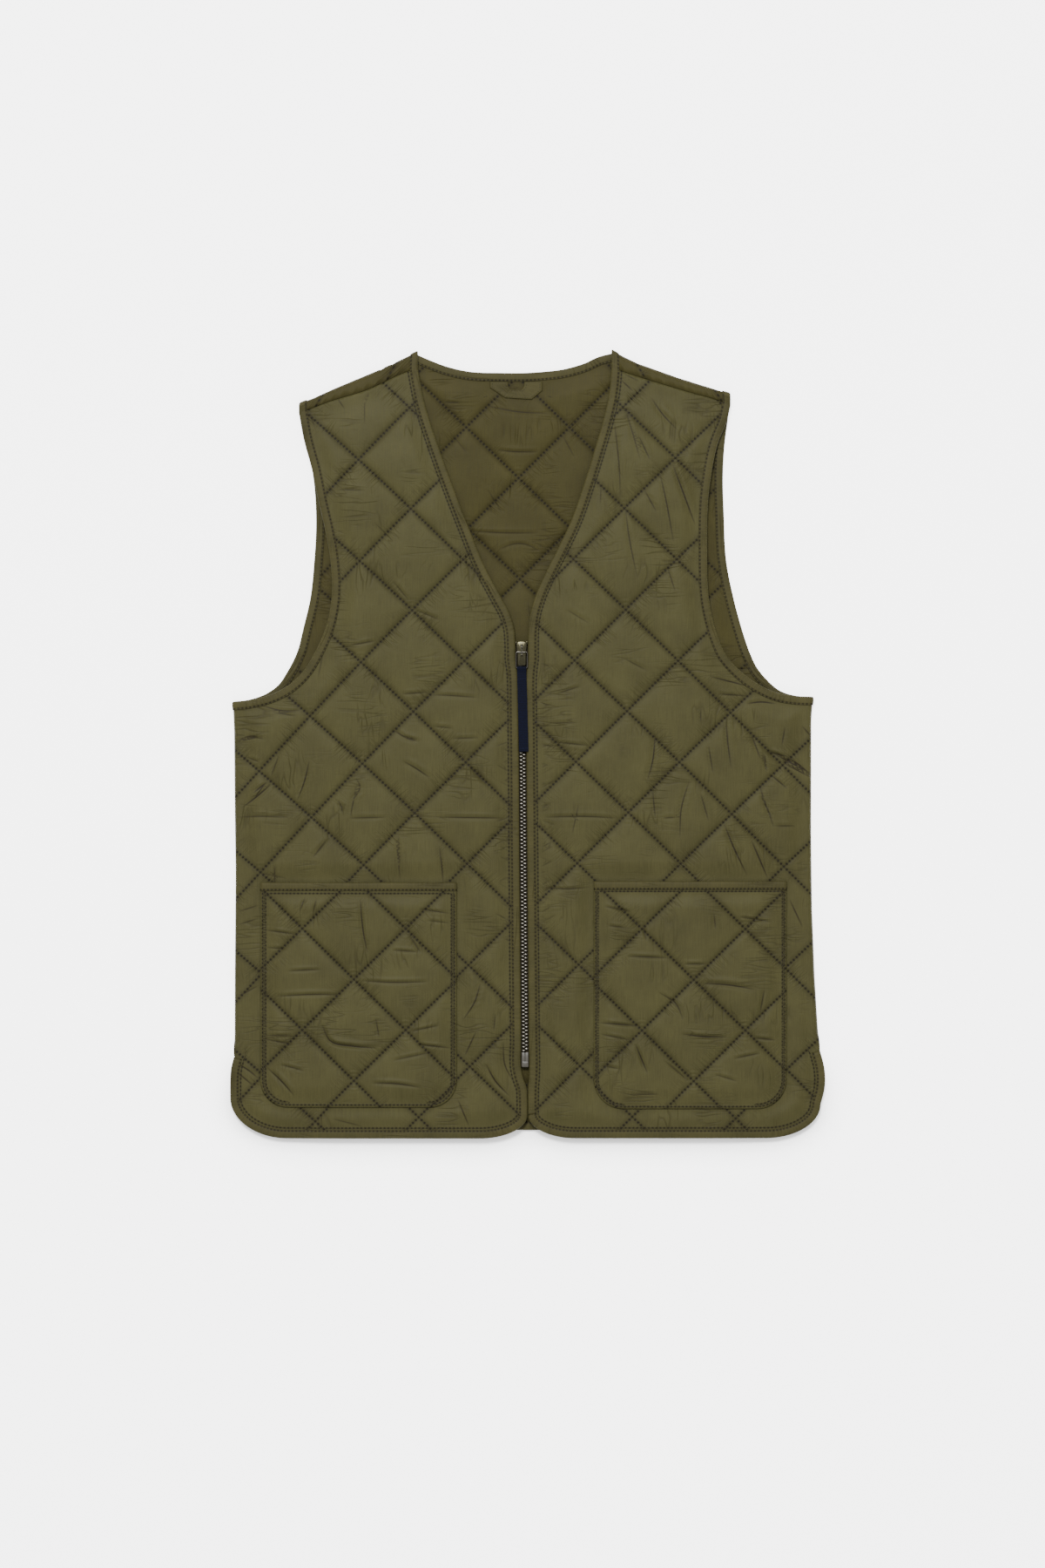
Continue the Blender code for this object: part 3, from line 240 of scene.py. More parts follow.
CREASES_RIGHT = [
    (0.7, 2.6, (624, 938), (668, 937), (710, 939)), (0.6, 2.4, (761, 939), (776, 938)),
    (0.6, 2.6, (890, 948), (912, 948)), (0.7, 2.6, (713, 437), (727, 450)), (0.5, 2.2, (716, 430), (733, 438)),
    (0.7, 3.0, (705, 482), (711, 543), (712, 572)), (0.6, 2.6, (718, 471), (729, 508), (735, 530)),
    (0.7, 2.8, (733, 501), (746, 529)), (0.8, 5.0, (748, 458), (761, 477), (777, 494)),
    (1.3, 3.8, (772, 534), (785, 569), (798, 604)), (0.8, 3.2, (757, 543), (763, 569), (773, 623)),
    (0.7, 2.8, (740, 564), (753, 588)), (0.7, 3.0, (718, 586), (722, 617), (731, 662)),
    (0.5, 2.4, (690, 558), (689, 580)), (0.6, 2.6, (766, 652), (775, 680)), (0.9, 3.0, (815, 777), (859, 788)),
    (0.7, 2.6, (824, 797), (857, 799)), (1.0, 3.4, (857, 808), (874, 806), (890, 808)),
    (0.8, 2.8, (879, 863), (906, 869)), (1.2, 3.2, (903, 869), (917, 878), (930, 889)),
    (0.7, 2.6, (862, 843), (873, 872)), (0.6, 2.4, (876, 865), (879, 887)),
    (0.8, 2.8, (833, 825), (835, 852), (839, 883)), (0.7, 2.6, (813, 856), (818, 887)),
    (0.6, 2.4, (804, 814), (804, 830)), (0.9, 3.2, (752, 843), (749, 874), (743, 896)),
    (0.7, 2.8, (749, 907), (752, 940)), (0.8, 3.0, (791, 896), (782, 927), (780, 962)),
    (0.7, 2.8, (804, 911), (813, 942)), (1.3, 3.6, (831, 946), (842, 973), (857, 1004)),
    (1.0, 3.2, (862, 964), (881, 1008)), (0.8, 2.8, (873, 913), (886, 940)), (0.8, 2.6, (884, 889), (903, 905)),
    (0.6, 2.6, (664, 924), (657, 957)), (0.6, 2.6, (639, 797), (666, 788)), (0.5, 2.4, (633, 830), (661, 830)),
    (0.6, 2.6, (637, 852), (677, 856)), (0.6, 2.2, (620, 1018), (650, 1020), (678, 1018)),
    (0.8, 3.0, (906, 1032), (921, 1064)), (0.4, 3.2, (650, 700), (676, 716)), (0.5, 3.0, (716, 756), (742, 770)),
    (0.7, 2.4, (877, 865), (880, 885)), (0.7, 2.6, (901, 834), (897, 856)), (0.8, 2.6, (871, 901), (888, 950)),
    (1.0, 2.8, (888, 865), (932, 889)), (0.8, 2.6, (899, 876), (932, 893)), (0.7, 2.4, (921, 834), (932, 847)),
]
CREASES_POCKET_LEFT = [
    (0.9, 3.2, (414, 1031), (419, 1076), (423, 1094)), (0.7, 2.8, (317, 1143), (355, 1141), (394, 1141)),
    (0.7, 2.8, (415, 1125), (452, 1127), (492, 1126)), (0.6, 2.4, (451, 1090), (480, 1092)),
    (1.2, 3.4, (370, 1174), (380, 1194), (406, 1200), (435, 1202)), (0.6, 2.6, (304, 1188), (337, 1188)),
    (0.9, 3.0, (308, 1225), (324, 1240), (339, 1257)), (0.6, 2.4, (323, 1221), (350, 1228)),
    (0.6, 2.4, (351, 1030), (345, 1046)), (0.6, 2.4, (364, 1032), (360, 1048)), (0.6, 2.4, (332, 1114), (369, 1112)),
    (0.6, 2.4, (305, 1192), (336, 1198)), (0.8, 2.8, (428, 1242), (456, 1243), (484, 1247)),
    (0.6, 2.4, (471, 1074), (484, 1094)), (0.6, 2.4, (432, 1168), (436, 1190)), (0.6, 2.4, (305, 1067), (340, 1072)),
    (0.5, 2.4, (307, 1087), (329, 1089)), (0.6, 2.4, (482, 1043), (517, 1048)), (0.5, 2.4, (491, 1056), (517, 1059)),
    (0.7, 2.4, (478, 1198), (519, 1202)), (0.6, 2.4, (473, 1183), (504, 1176)), (0.5, 2.6, (452, 1216), (495, 1207)),
]
CREASES_POCKET_RIGHT = [
    (0.7, 2.6, (720, 1097), (767, 1099)), (0.6, 2.4, (785, 1106), (810, 1106)),
    (0.9, 4.4, (805, 1128), (836, 1130), (866, 1135)), (0.8, 2.8, (687, 1173), (734, 1177)),
    (1.1, 3.2, (783, 1186), (808, 1189), (834, 1189)), (0.6, 2.4, (689, 1186), (723, 1193)),
    (0.6, 2.6, (723, 1255), (756, 1255)), (0.9, 3.0, (729, 1197), (743, 1231)), (0.7, 2.6, (877, 1135), (872, 1162)),
    (0.7, 2.6, (866, 1191), (890, 1193)), (0.6, 2.4, (819, 1048), (821, 1066)), (0.5, 2.6, (820, 1232), (846, 1240)),
    (0.6, 2.4, (694, 1040), (724, 1046)), (0.5, 2.4, (698, 1062), (716, 1064)), (0.6, 2.4, (848, 1052), (886, 1058)),
    (0.7, 2.6, (756, 1138), (776, 1152), (784, 1170)), (0.6, 2.4, (762, 1216), (790, 1240)),
    (0.6, 2.6, (842, 1214), (872, 1208)), (0.5, 2.4, (690, 1222), (712, 1226)), (0.5, 2.4, (738, 1062), (742, 1080)),
]
CREASES_BACK = [
    (0.6, 2.2, (510, 462), (529, 463)), (0.7, 2.6, (570, 517), (594, 519), (618, 519)),
    (0.6, 2.4, (540, 610), (579, 612), (618, 612)), (0.7, 2.4, (558, 466), (594, 473), (631, 475)),
    (0.6, 2.4, (572, 632), (585, 626), (597, 624), (609, 627), (621, 634)), (0.5, 2.6, (560, 562), (576, 588)),
    (0.5, 2.6, (646, 500), (660, 526)), (0.4, 2.6, (520, 500), (536, 520)), (0.5, 2.4, (606, 690), (612, 730)),
]


def linear(hex_colour):
    """Scene-linear red, green and blue of an sRGB hex value."""
    parts = [int(hex_colour[i : i + 2], 16) / 255 for i in (0, 2, 4)]
    return [p / 12.92 if p <= 0.04045 else ((p + 0.055) / 1.055) ** 2.4 for p in parts]


def ease(t):
    """0 below 0, 1 above 1, and a smooth step between."""
    t = np.clip(t, 0, 1)
    return t * t * (3 - 2 * t)


def unit(vectors):
    return vectors / np.hypot(*vectors.T)[:, None]


def turned(vectors):
    """Vectors in plan, turned a quarter anticlockwise."""
    return np.stack([-vectors[:, 1], vectors[:, 0]], 1)


def distances(points):
    """How far along a broken line each of its points is."""
    return np.concatenate([[0], np.cumsum(np.hypot(*np.diff(points, axis=0).T))])


def sample(at, along, rows):
    """Each column of the rows, which lie at these distances along, interpolated at others."""
    return np.stack([np.interp(at, along, column) for column in np.array(rows, float).T], 1)


def smooth(rows, step):
    """Points about step apart on a cubic curve through the rows."""
    p = np.array(rows, float)
    along = distances(p)
    slope = np.gradient(p, along, axis=0)
    at = np.linspace(0, along[-1], max(2, round(along[-1] / step) + 1))
    i = np.clip(np.searchsorted(along, at, "right") - 1, 0, len(p) - 2)
    span = (along[i + 1] - along[i])[:, None]
    u = (at - along[i])[:, None] / span
    start, end = p[i], p[i + 1]
    return (
        start * (1 + 2 * u) * (1 - u) ** 2
        + end * u * u * (3 - 2 * u)
        + slope[i] * span * u * (1 - u) ** 2
        - slope[i + 1] * span * u * u * (1 - u)
    )


def corner(centre, half_axes, start, end, count):
    """Points on part of an ellipse, from angle start to end in degrees."""
    angle = np.radians(np.linspace(start, end, count))
    return np.array(centre) + np.stack([np.cos(angle), np.sin(angle)], 1) * np.array(half_axes)


def chain(*stretches):
    """Stretches of an outline joined, with a point that two of them share kept once."""
    joined = np.concatenate(stretches)
    apart = np.hypot(*np.diff(joined, axis=0).T) > 0.25
    return joined[np.concatenate([[True], apart])]


def inward(points, left_side):
    """Unit normals of an open outline, on its left or right side as it is walked."""
    across = turned(unit(np.gradient(points, axis=0)))
    return across if left_side else -across


def nearest_on(points, line, closed=True):
    """For each point, the distance, the nearest point, the share along it and the side of a broken line."""
    ends = np.roll(line, -1, 0) if closed else line[1:]
    starts = line if closed else line[:-1]
    stretch = ends - starts
    length = np.hypot(*stretch.T)
    before = np.concatenate([[0], np.cumsum(length)])
    found = []
    for part in np.array_split(points, max(1, len(points) * len(starts) // 1500000)):
        offset = part[:, None] - starts
        share = np.clip((offset * stretch).sum(2) / np.maximum(length, 1e-9) ** 2, 0, 1)
        apart = offset - share[..., None] * stretch
        distance = np.hypot(apart[..., 0], apart[..., 1])
        best = distance.argmin(1)
        row = np.arange(len(part))
        gap = apart[row, best]
        side = np.sign(stretch[best, 0] * gap[:, 1] - stretch[best, 1] * gap[:, 0])
        along = (before[best] + share[row, best] * length[best]) / before[-1]
        found.append(np.column_stack([distance[row, best], part - gap, along, side]))
    return np.concatenate(found)


def distance_to(points, line, closed=True):
    return nearest_on(points, line, closed)[:, 0]


def inside(points, loop):
    """Whether each point is inside a closed loop, by counting crossings."""
    x0, y0 = loop.T
    x1, y1 = np.roll(loop, -1, 0).T
    rise = np.where(y1 == y0, 1e-12, y1 - y0)
    found = []
    for part in np.array_split(points, max(1, len(points) * len(loop) // 4000000)):
        x, y = part[:, 0, None], part[:, 1, None]
        crosses = ((y0 > y) != (y1 > y)) & (x < (x1 - x0) * (y - y0) / rise + x0)
        found.append(crosses.sum(1) % 2 == 1)
    return np.concatenate(found)


def in_reach(points, line, reach):
    """Whether each point is in the box round a line, let out by this reach."""
    return np.all((points > line.min(0) - reach) & (points < line.max(0) + reach), axis=1)


def droop(x, lean):
    """How far the quilting's lines hang down towards the side seams. The pockets, cut straight, have none."""
    if lean == 0:
        return 0.0
    share = np.maximum(np.abs(x) - DROOP_FROM, 0) / (DROOP_TO - DROOP_FROM)
    return np.where(x < 0, *DROOP) * share**DROOP_CURVE


def quilt_fractions(points, quilt):
    """How many diamonds a point is from the crossing, along each of the two families of seams."""
    cross_x, cross_y, lean = quilt
    y = points[..., 1] - cross_y + droop(points[..., 0], lean)
    x = points[..., 0] - cross_x - lean * y
    return (x / QUILT_X + y / QUILT_Y) / 2, (x / QUILT_X - y / QUILT_Y) / 2


def quilt_point(first, second, quilt):
    """The point at these fractions: the inverse of quilt_fractions."""
    cross_x, cross_y, lean = quilt
    y = QUILT_Y * (first - second)
    x = cross_x + QUILT_X * (first + second) + lean * y
    return np.stack([x, cross_y + y - droop(x, lean)], -1)


def box_fractions(low, high, quilt):
    """The fractions at the corners of a box."""
    return quilt_fractions(np.array([low, (low[0], high[1]), (high[0], low[1]), high]), quilt)


def from_seam(share):
    """How far these fractions of one family are from its nearest seam, in millimetres."""
    return np.abs(share - np.round(share)) * QUILT_PITCH


# Laying flat cloth in place


def shoulder_fold(x):
    return np.interp(x, *np.array(SHOULDER_FOLD).T) - ROLL_OUTER


def roll_start(side, y):
    rows = np.array(SIDE_SEAM[side][::-1])
    return np.interp(y, rows[:, 1], rows[:, 0]) - SIDE_SIGN[side] * ROLL_OUTER


def roll_past(side, points):
    return SIDE_SIGN[side] * (points[:, 0] - roll_start(side, points[:, 1]))


def past_sides(points):
    return np.maximum(roll_past("left", points), roll_past("right", points))


def roll_bend(side, points):
    """Where the side's roll takes flat points: run outwards, rise or drop, and angle turned through."""
    vent_top = SIDE_SEAM[side][-1][1]
    curve = ease((points[:, 1] - vent_top) / VENT_OPENING) / ROLL + 1e-6
    turn = curve * np.maximum(roll_past(side, points), 0)
    return np.sin(turn) / curve, (1 - np.cos(turn)) / curve, turn


def loft_rise(points):
    """How far the fronts stand above their level at the side seams and shoulders."""
    from_side = -past_sides(points)
    seam = np.array(SHOULDER_SEAM["left"] + SHOULDER_SEAM["right"][::-1])
    from_shoulder = np.interp(points[:, 0], *seam.T) - points[:, 1]
    return LOFT * ease(from_side / LOFT_REACH) * ease(from_shoulder / LOFT_REACH)


def lay_front(side):
    """The function that lays flat points of a front in place, out being away from the wearer."""

    def place(points, out):
        run, drop, turn = roll_bend(side, points)
        rolled = roll_start(side, points[:, 1]) + SIDE_SIGN[side] * (run + out * np.sin(turn))
        x = np.where(roll_past(side, points) > 0, rolled, points[:, 0])
        return np.stack([x, points[:, 1], FRONT_MIDDLE + loft_rise(points) - drop + out * np.cos(turn)], 1)

    return place


def lay_back(points, out):
    """Lays flat points of the back in place. Past the shoulder fold the cloth turns over and comes forwards."""
    x, y = points.T
    lift, tilt = 0.0, 0.0
    for side in ("left", "right"):
        run, rise, turn = roll_bend(side, points)
        rolled = roll_start(side, y) + SIDE_SIGN[side] * (run + out * np.sin(turn))
        x = np.where(roll_past(side, points) > 0, rolled, x)
        lift, tilt = lift + rise, tilt + turn
    fold = shoulder_fold(points[:, 0])
    over = np.maximum(y - fold, 0)
    angle = np.minimum(over / ROLL, math.pi)
    forward = np.maximum(over - math.pi * ROLL, 0)
    y = np.where(over > 0, fold + (ROLL + out) * np.sin(angle) - forward, y)
    height = BACK_MIDDLE + lift + ROLL * (1 - np.cos(angle)) - out * np.cos(angle) * np.cos(tilt)
    return np.stack([x, y, height], 1)


def lay_pocket(side):
    """The function that lays a pocket's flat points on its front, a little further off at the mouth."""
    lay, top = lay_front(side), POCKETS[side][2]

    def place(points, out):
        mouth = ease(1 - (top - points[:, 1]) / POCKET_MOUTH_REACH)
        return lay(points, out + POCKET_MIDDLE + POCKET_MOUTH * mouth)

    return place


# Edges of the cut pieces


def cut_at(path, value, levels):
    """The path with points added where a value that goes with each of its points passes a level."""
    rows = [path[:1]]
    for i in range(len(path) - 1):
        low, high = value[i], value[i + 1]
        shares = sorted((level - low) / (high - low) for level in levels if min(low, high) < level < max(low, high))
        rows += [path[i : i + 1] + (path[i + 1] - path[i]) * share for share in shares]
        rows.append(path[i + 1 : i + 2])
    return chain(*rows)


def side_seam(side):
    """The side seam as cut: a quarter turn past the start of the roll, short of it by half the seam's gap."""
    y = np.arange(SIDE_SEAM[side][0][1], SIDE_SEAM[side][-1][1], -STEP)
    y = np.append(y, SIDE_SEAM[side][-1][1])
    return np.stack([roll_start(side, y) + SIDE_SIGN[side] * (ROLL_ARC - GAP / 2), y], 1)


def seam_top(side):
    y = SIDE_SEAM[side][0][1]
    return np.array([float(roll_start(side, y)) + SIDE_SIGN[side] * ROLL_ARC, y])


def shoulder_seam(side):
    return smooth(SHOULDER_SEAM[side], STEP)


def shoulder_seam_back(side):
    """The shoulder seam on the back's flat cloth, from the armhole to the neck."""
    seam = shoulder_seam(side)
    seam[:, 1] = 2 * shoulder_fold(seam[:, 0]) + math.pi * ROLL - seam[:, 1]
    return seam


def over_shoulder(side, at_neck):
    """The back's bound edge from the shoulder seam down over the roll, and the way into the cloth."""
    x, y = shoulder_seam_back(side)[-1 if at_neck else 0]
    inwards = SIDE_SIGN[side] * (1 if at_neck else -1)
    heights = [y] + [shoulder_fold(x) + level for level in SHOULDER_LEVELS[::-1]]
    slope = shoulder_fold(x + inwards) - shoulder_fold(x)
    return np.array([(x, height) for height in heights]), np.array([inwards, slope]) / math.hypot(1, slope)


def front_lower_path(side):
    """A front's bound edge from the top of the vent round the hem and up the zip edge and neck."""
    sign, hem = SIDE_SIGN[side], HEM[side]
    vent = smooth(VENT_EDGE[side], STEP)
    edge = smooth(FRONT_EDGE[side][::-1], STEP)
    rx, ry = FRONT_CORNER
    vx, vy = VENT_CORNER[side]
    outer = corner((vent[-1][0] - sign * vx, hem + vy), (vx * sign, vy), 0, -90, 26)
    inner = corner((edge[0][0] + sign * rx, hem + ry), (-rx * sign, ry), -90, 0, 20)
    hem_run = smooth([outer[-1], inner[0]], STEP)
    points = chain(vent, outer, hem_run, inner, edge, smooth(NECKLINE[side][::-1], STEP))
    across = inward(points, side == "left")
    seam = np.array(SHOULDER_SEAM[side])
    across[-1] = unit(seam[-2:-1] - seam[-1])
    return points, across


def front_armhole_path(side):
    """A front's bound armhole from the shoulder seam to the side seam."""
    points = smooth(FRONT_ARMHOLE[side], STEP)
    points[-1] = seam_top(side)
    points = cut_at(points, roll_past(side, points), ROLL_LEVELS)
    across = inward(points, side == "left")
    seam = np.array(SHOULDER_SEAM[side])
    across[0] = unit(seam[1:2] - seam[0])
    across[-1] = (0, -1)
    return points, across


def back_armhole_path(side):
    """The back's bound armhole from the shoulder seam to the side seam."""
    over, along = over_shoulder(side, False)
    points = chain(over, smooth([tuple(over[-1])] + BACK_ARMHOLE[side], STEP))
    points[-1] = seam_top(side)
    points = cut_at(points, roll_past(side, points), ROLL_LEVELS)
    across = inward(points, side == "left")
    across[: len(over)] = along
    across[-1] = (0, -1)
    return points, across


def back_neck_path():
    """The back's bound neck from the left shoulder seam to the right one."""
    left, left_along = over_shoulder("left", True)
    right, right_along = over_shoulder("right", True)
    neck = smooth([tuple(left[-1])] + BACK_NECK + [tuple(right[-1])], STEP)
    points = chain(left, neck, right[::-1])
    across = inward(points, False)
    across[: len(left)] = left_along
    across[-len(right) :] = right_along
    return points, across


def back_hem_path():
    """The back's bound edge from the top of the left vent round the hem to the top of the right one."""
    rx, ry = BACK_CORNER
    left, right = BACK_VENT["left"], BACK_VENT["right"]
    low = BACK_HEM + ry
    down = smooth([(left, SIDE_SEAM["left"][-1][1]), (left, low)], STEP)
    up = smooth([(right, low), (right, SIDE_SEAM["right"][-1][1])], STEP)
    first = corner((left + rx, low), (rx, ry), 180, 270, 26)
    last = corner((right - rx, low), (rx, ry), 270, 360, 26)
    points = chain(down, first, smooth([first[-1], last[0]], STEP), last, up)
    return points, inward(points, True)


def even_across(path, spread=3):
    """The path with its way into the cloth blended along it, so that a strip turns corners softly."""
    points, across = path
    weights = np.ones(2 * spread + 1) / (2 * spread + 1)
    padded = np.pad(across, ((spread, spread), (0, 0)), mode="edge")
    soft = np.stack([np.convolve(padded[:, k], weights, mode="valid") for k in (0, 1)], 1)
    order = np.arange(len(points))
    share = ease(np.minimum(order, order[::-1]) / 6)[:, None]
    return points, unit(across * (1 - share) + unit(soft) * share)


def cut_edge(path):
    points, across = path
    return points + across * EDGE_INSET


def armhole_cut(path, side):
    """An armhole's cut edge, clear of the shoulder seam and the side seam by half their gap."""
    points = cut_edge(path)
    points[0, 1] -= GAP / 2
    points[-1, 0] -= SIDE_SIGN[side] * GAP / 2
    return points


def pocket_outline(side, grow=0.0, mouth_drop=0.0):
    """A pocket's outline, anticlockwise from its top right corner: square at the mouth, rounded below."""
    left, right, top, bottom, radius = POCKETS[side]
    radii = (radius + grow, radius + grow)
    low = corner((left + radius, bottom + radius), radii, 180, 270, 16)
    far = corner((right - radius, bottom + radius), radii, 270, 360, 16)
    upper_right, upper_left = (right + grow, top + grow - mouth_drop), (left - grow, top + grow - mouth_drop)
    mouth = smooth([upper_right, upper_left], STEP)
    return chain(mouth, smooth([upper_left, low[0]], STEP), low, far, smooth([far[-1], upper_right], STEP)[:-1])


def front_outline(side):
    """A front's cut outline, anticlockwise."""
    lower, armhole = cut_edge(front_lower_path(side)), armhole_cut(front_armhole_path(side), side)
    lower[-1, 1] -= GAP / 2
    shoulder = shoulder_seam(side)[::-1]
    shoulder[:, 1] -= GAP / 2
    loop = chain(lower, shoulder[1:-1], armhole, side_seam(side)[1:-1])
    return loop if side == "left" else loop[::-1]


def back_outline():
    """The back's cut outline, anticlockwise."""
    stretches = [cut_edge(back_hem_path())]
    right_arm, left_arm = (armhole_cut(back_armhole_path(side), side) for side in ("right", "left"))
    neck = cut_edge(back_neck_path())[::-1]
    neck[[0, -1], 1] -= GAP / 2
    right_seam, left_seam = (shoulder_seam_back(side) - np.array([0, GAP / 2]) for side in ("right", "left"))
    stretches += [side_seam("right")[::-1][1:-1], right_arm[::-1], right_seam[1:-1], neck]
    stretches += [left_seam[::-1][1:-1], left_arm, side_seam("left")[1:-1]]
    return chain(*stretches)


# Relief of the cloth


def quilt_relief(points, quilt):
    """Puffs that rise quickly beside each seam to a soft crown, from 0 on a seam to 1."""
    first, second = quilt_fractions(points, quilt)
    rise = 1.0
    for share in (first, second):
        rise = rise * (1 - np.exp(-from_seam(share) / GROOVE))
    crown = np.abs(np.sin(math.pi * first) * np.sin(math.pi * second))
    return rise * (1 - CROWN + CROWN * crown)


def puckers(points, quilt):
    """Small ripples where thread draws the cloth in.

    Along a seam they run square to it and die out within a few millimetres. Above and below a crossing they are
    short arcs round it, in the wedge between the two seams.
    """
    first, second = quilt_fractions(points, quilt)
    relief = np.zeros(len(points))
    for share, other in ((first, second), (second, first)):
        seam, away, along = np.round(share), from_seam(share), other * QUILT_PITCH
        wander = 1.3 * np.sin(along / 9.1 + 2.1 * seam) + 0.8 * np.sin(along / 3.7 + 5.3 * seam)
        strength = 0.55 + 0.45 * np.sin(along / 13.7 + 1.7 * seam)
        wave = np.sin(2 * math.pi * along / PUCKER_PITCH + wander)
        relief += PUCKER * strength * wave * np.exp(-away / PUCKER_REACH) * (1 - np.exp(-away))
    cross_a, cross_b = np.round(first), np.round(second)
    u = QUILT_X * ((first - cross_a) + (second - cross_b))
    v = QUILT_Y * ((first - cross_a) - (second - cross_b))
    away = np.hypot(u, v)
    wedge = ease((0.95 * np.abs(v) - np.abs(u)) / 3.0)
    chance = 0.6 + 0.4 * np.sin(12.9 * cross_a + 7.7 * cross_b + np.sign(v))
    reach = np.exp(-(((away - ARC_PLACE) / ARC_SPREAD) ** 2))
    return relief + ARC * chance * wedge * reach * np.sin(2 * math.pi * away / (ARC_PITCH + 0.5 * chance))


def swells(points, seed):
    """Broad uneven waves of the whole cloth."""
    x, y = points.T
    return (
        np.sin(x / 31 + 0.9 * seed) * np.sin(y / 43 + 1.7 * seed)
        + 0.6 * np.sin(x / 17 + y / 29 + 2.3 * seed)
        + 0.5 * np.sin(x / 47 - y / 19 + 0.4 * seed)
    )


def crease_line(units):
    """A crease's line in millimetres, from its points in picture units."""
    units = np.array(units, float)
    line = np.stack([(units[:, 0] - UNIT_CENTRE[0]) * UNIT, (UNIT_CENTRE[1] - units[:, 1]) * UNIT], 1)
    return smooth(line, 4.0) if len(line) > 2 else line


def crease_taper(share):
    """How a crease dies out towards its ends, from the share along it."""
    return np.sin(math.pi * np.clip(share, 0.0, 1.0)) ** 0.7


def crease_relief(points, rows):
    """Each crease is a trough along its line with a lower ridge beside it, and both die out at its ends."""
    relief = np.zeros(len(points))
    for depth, width, *units in rows:
        line, width = crease_line(units), width * CREASE_SHARPNESS
        near = in_reach(points, line, 4 * width)
        if near.any():
            distance, _, _, share, side = nearest_on(points[near], line, closed=False).T
            offset = distance * side / width
            trough = np.exp(-(offset**2)) - 0.55 * np.exp(-(((offset - 1.7) / 1.1) ** 2))
            relief[near] -= CREASE_DEPTH * depth * trough * crease_taper(share)
    return relief


def zip_fans(side):
    """Short creases that fan out beside the zip, uneven in length, depth and spacing."""
    rows, outwards = [], SIDE_SIGN[side]
    x, y = FAN_START[side]
    for k in range(FANS):
        length = 9 + 5 * math.sin(2.7 * k) + 3 * math.sin(1.1 * k + 1)
        depth = 0.34 + 0.16 * math.sin(4.3 * k + outwards)
        drop = -0.55 * length if k % 3 else 0.35 * length
        rows.append((depth, 1.7, (x, y), (x + outwards * max(length, 4), y + drop)))
        y += FAN_PITCH + 2.6 * math.sin(1.9 * k + outwards)
    return rows


# Meshes


def grid_triangles(rings, size, closed):
    """Two triangles for each cell between rings of size points, the last joined to the first if closed."""
    i, j = np.meshgrid(np.arange(rings if closed else rings - 1), np.arange(size), indexing="ij")
    i, j = i.ravel(), j.ravel()
    below, beside = (i + 1) % rings, (j + 1) % size
    a, b, c, d = i * size + j, i * size + beside, below * size + beside, below * size + j
    return np.concatenate([np.stack([a, b, c], 1), np.stack([a, c, d], 1)])


def capped_triangles(rings, size):
    """The same, with a fan at each end about its own middle point. The two middle points come last."""
    ring, middle, far = np.arange(size), np.full(size, rings * size), (rings - 1) * size
    following = (ring + 1) % size
    near_cap = np.stack([following, ring, middle], 1)
    far_cap = np.stack([far + ring, far + following, middle + 1], 1)
    return np.concatenate([grid_triangles(rings, size, False), near_cap, far_cap])


def copied(faces, size, count):
    """The faces of one shape of size points, for count copies of it."""
    return (faces + size * np.arange(count)[:, None, None]).reshape(-1, 3)


def add_object(name, data):
    item = bpy.data.objects.new(name, data)
    bpy.context.scene.collection.objects.link(item)
    return item


def make_piece(name, vertices, triangles, material, maps=None):
    """An object from points in millimetres, its faces turned outwards by the sign of the volume they enclose."""
    v = np.asarray(vertices, float) * MM
    t = np.asarray(triangles, np.int32)
    volume = np.einsum("ij,ij->i", v[t[:, 0]], np.cross(v[t[:, 1]], v[t[:, 2]])).sum()
    if volume < 0:
        t = t[:, ::-1]
    mesh = bpy.data.meshes.new(name)
    mesh.vertices.add(len(v))
    mesh.vertices.foreach_set("co", v.astype(np.float32).ravel())
    mesh.loops.add(t.size)
    mesh.loops.foreach_set("vertex_index", np.ascontiguousarray(t).ravel())
    mesh.polygons.add(len(t))
    mesh.polygons.foreach_set("loop_start", np.arange(0, t.size, 3, dtype=np.int32))
    mesh.polygons.foreach_set("use_smooth", np.ones(len(t), bool))
    for label, values in (maps or {}).items():
        layer = mesh.uv_layers.new(name=label)
        layer.data.foreach_set("uv", np.asarray(values, np.float32)[t.ravel()].ravel())
    mesh.update(calc_edges=True)
    mesh.materials.append(material)
    return add_object(name, mesh)


def joined(parts):
    """Several (vertices, triangles) as one."""
    starts = np.cumsum([0] + [len(v) for v, _ in parts[:-1]])
    return np.concatenate([v for v, _ in parts]), np.concatenate([t + s for (_, t), s in zip(parts, starts)])


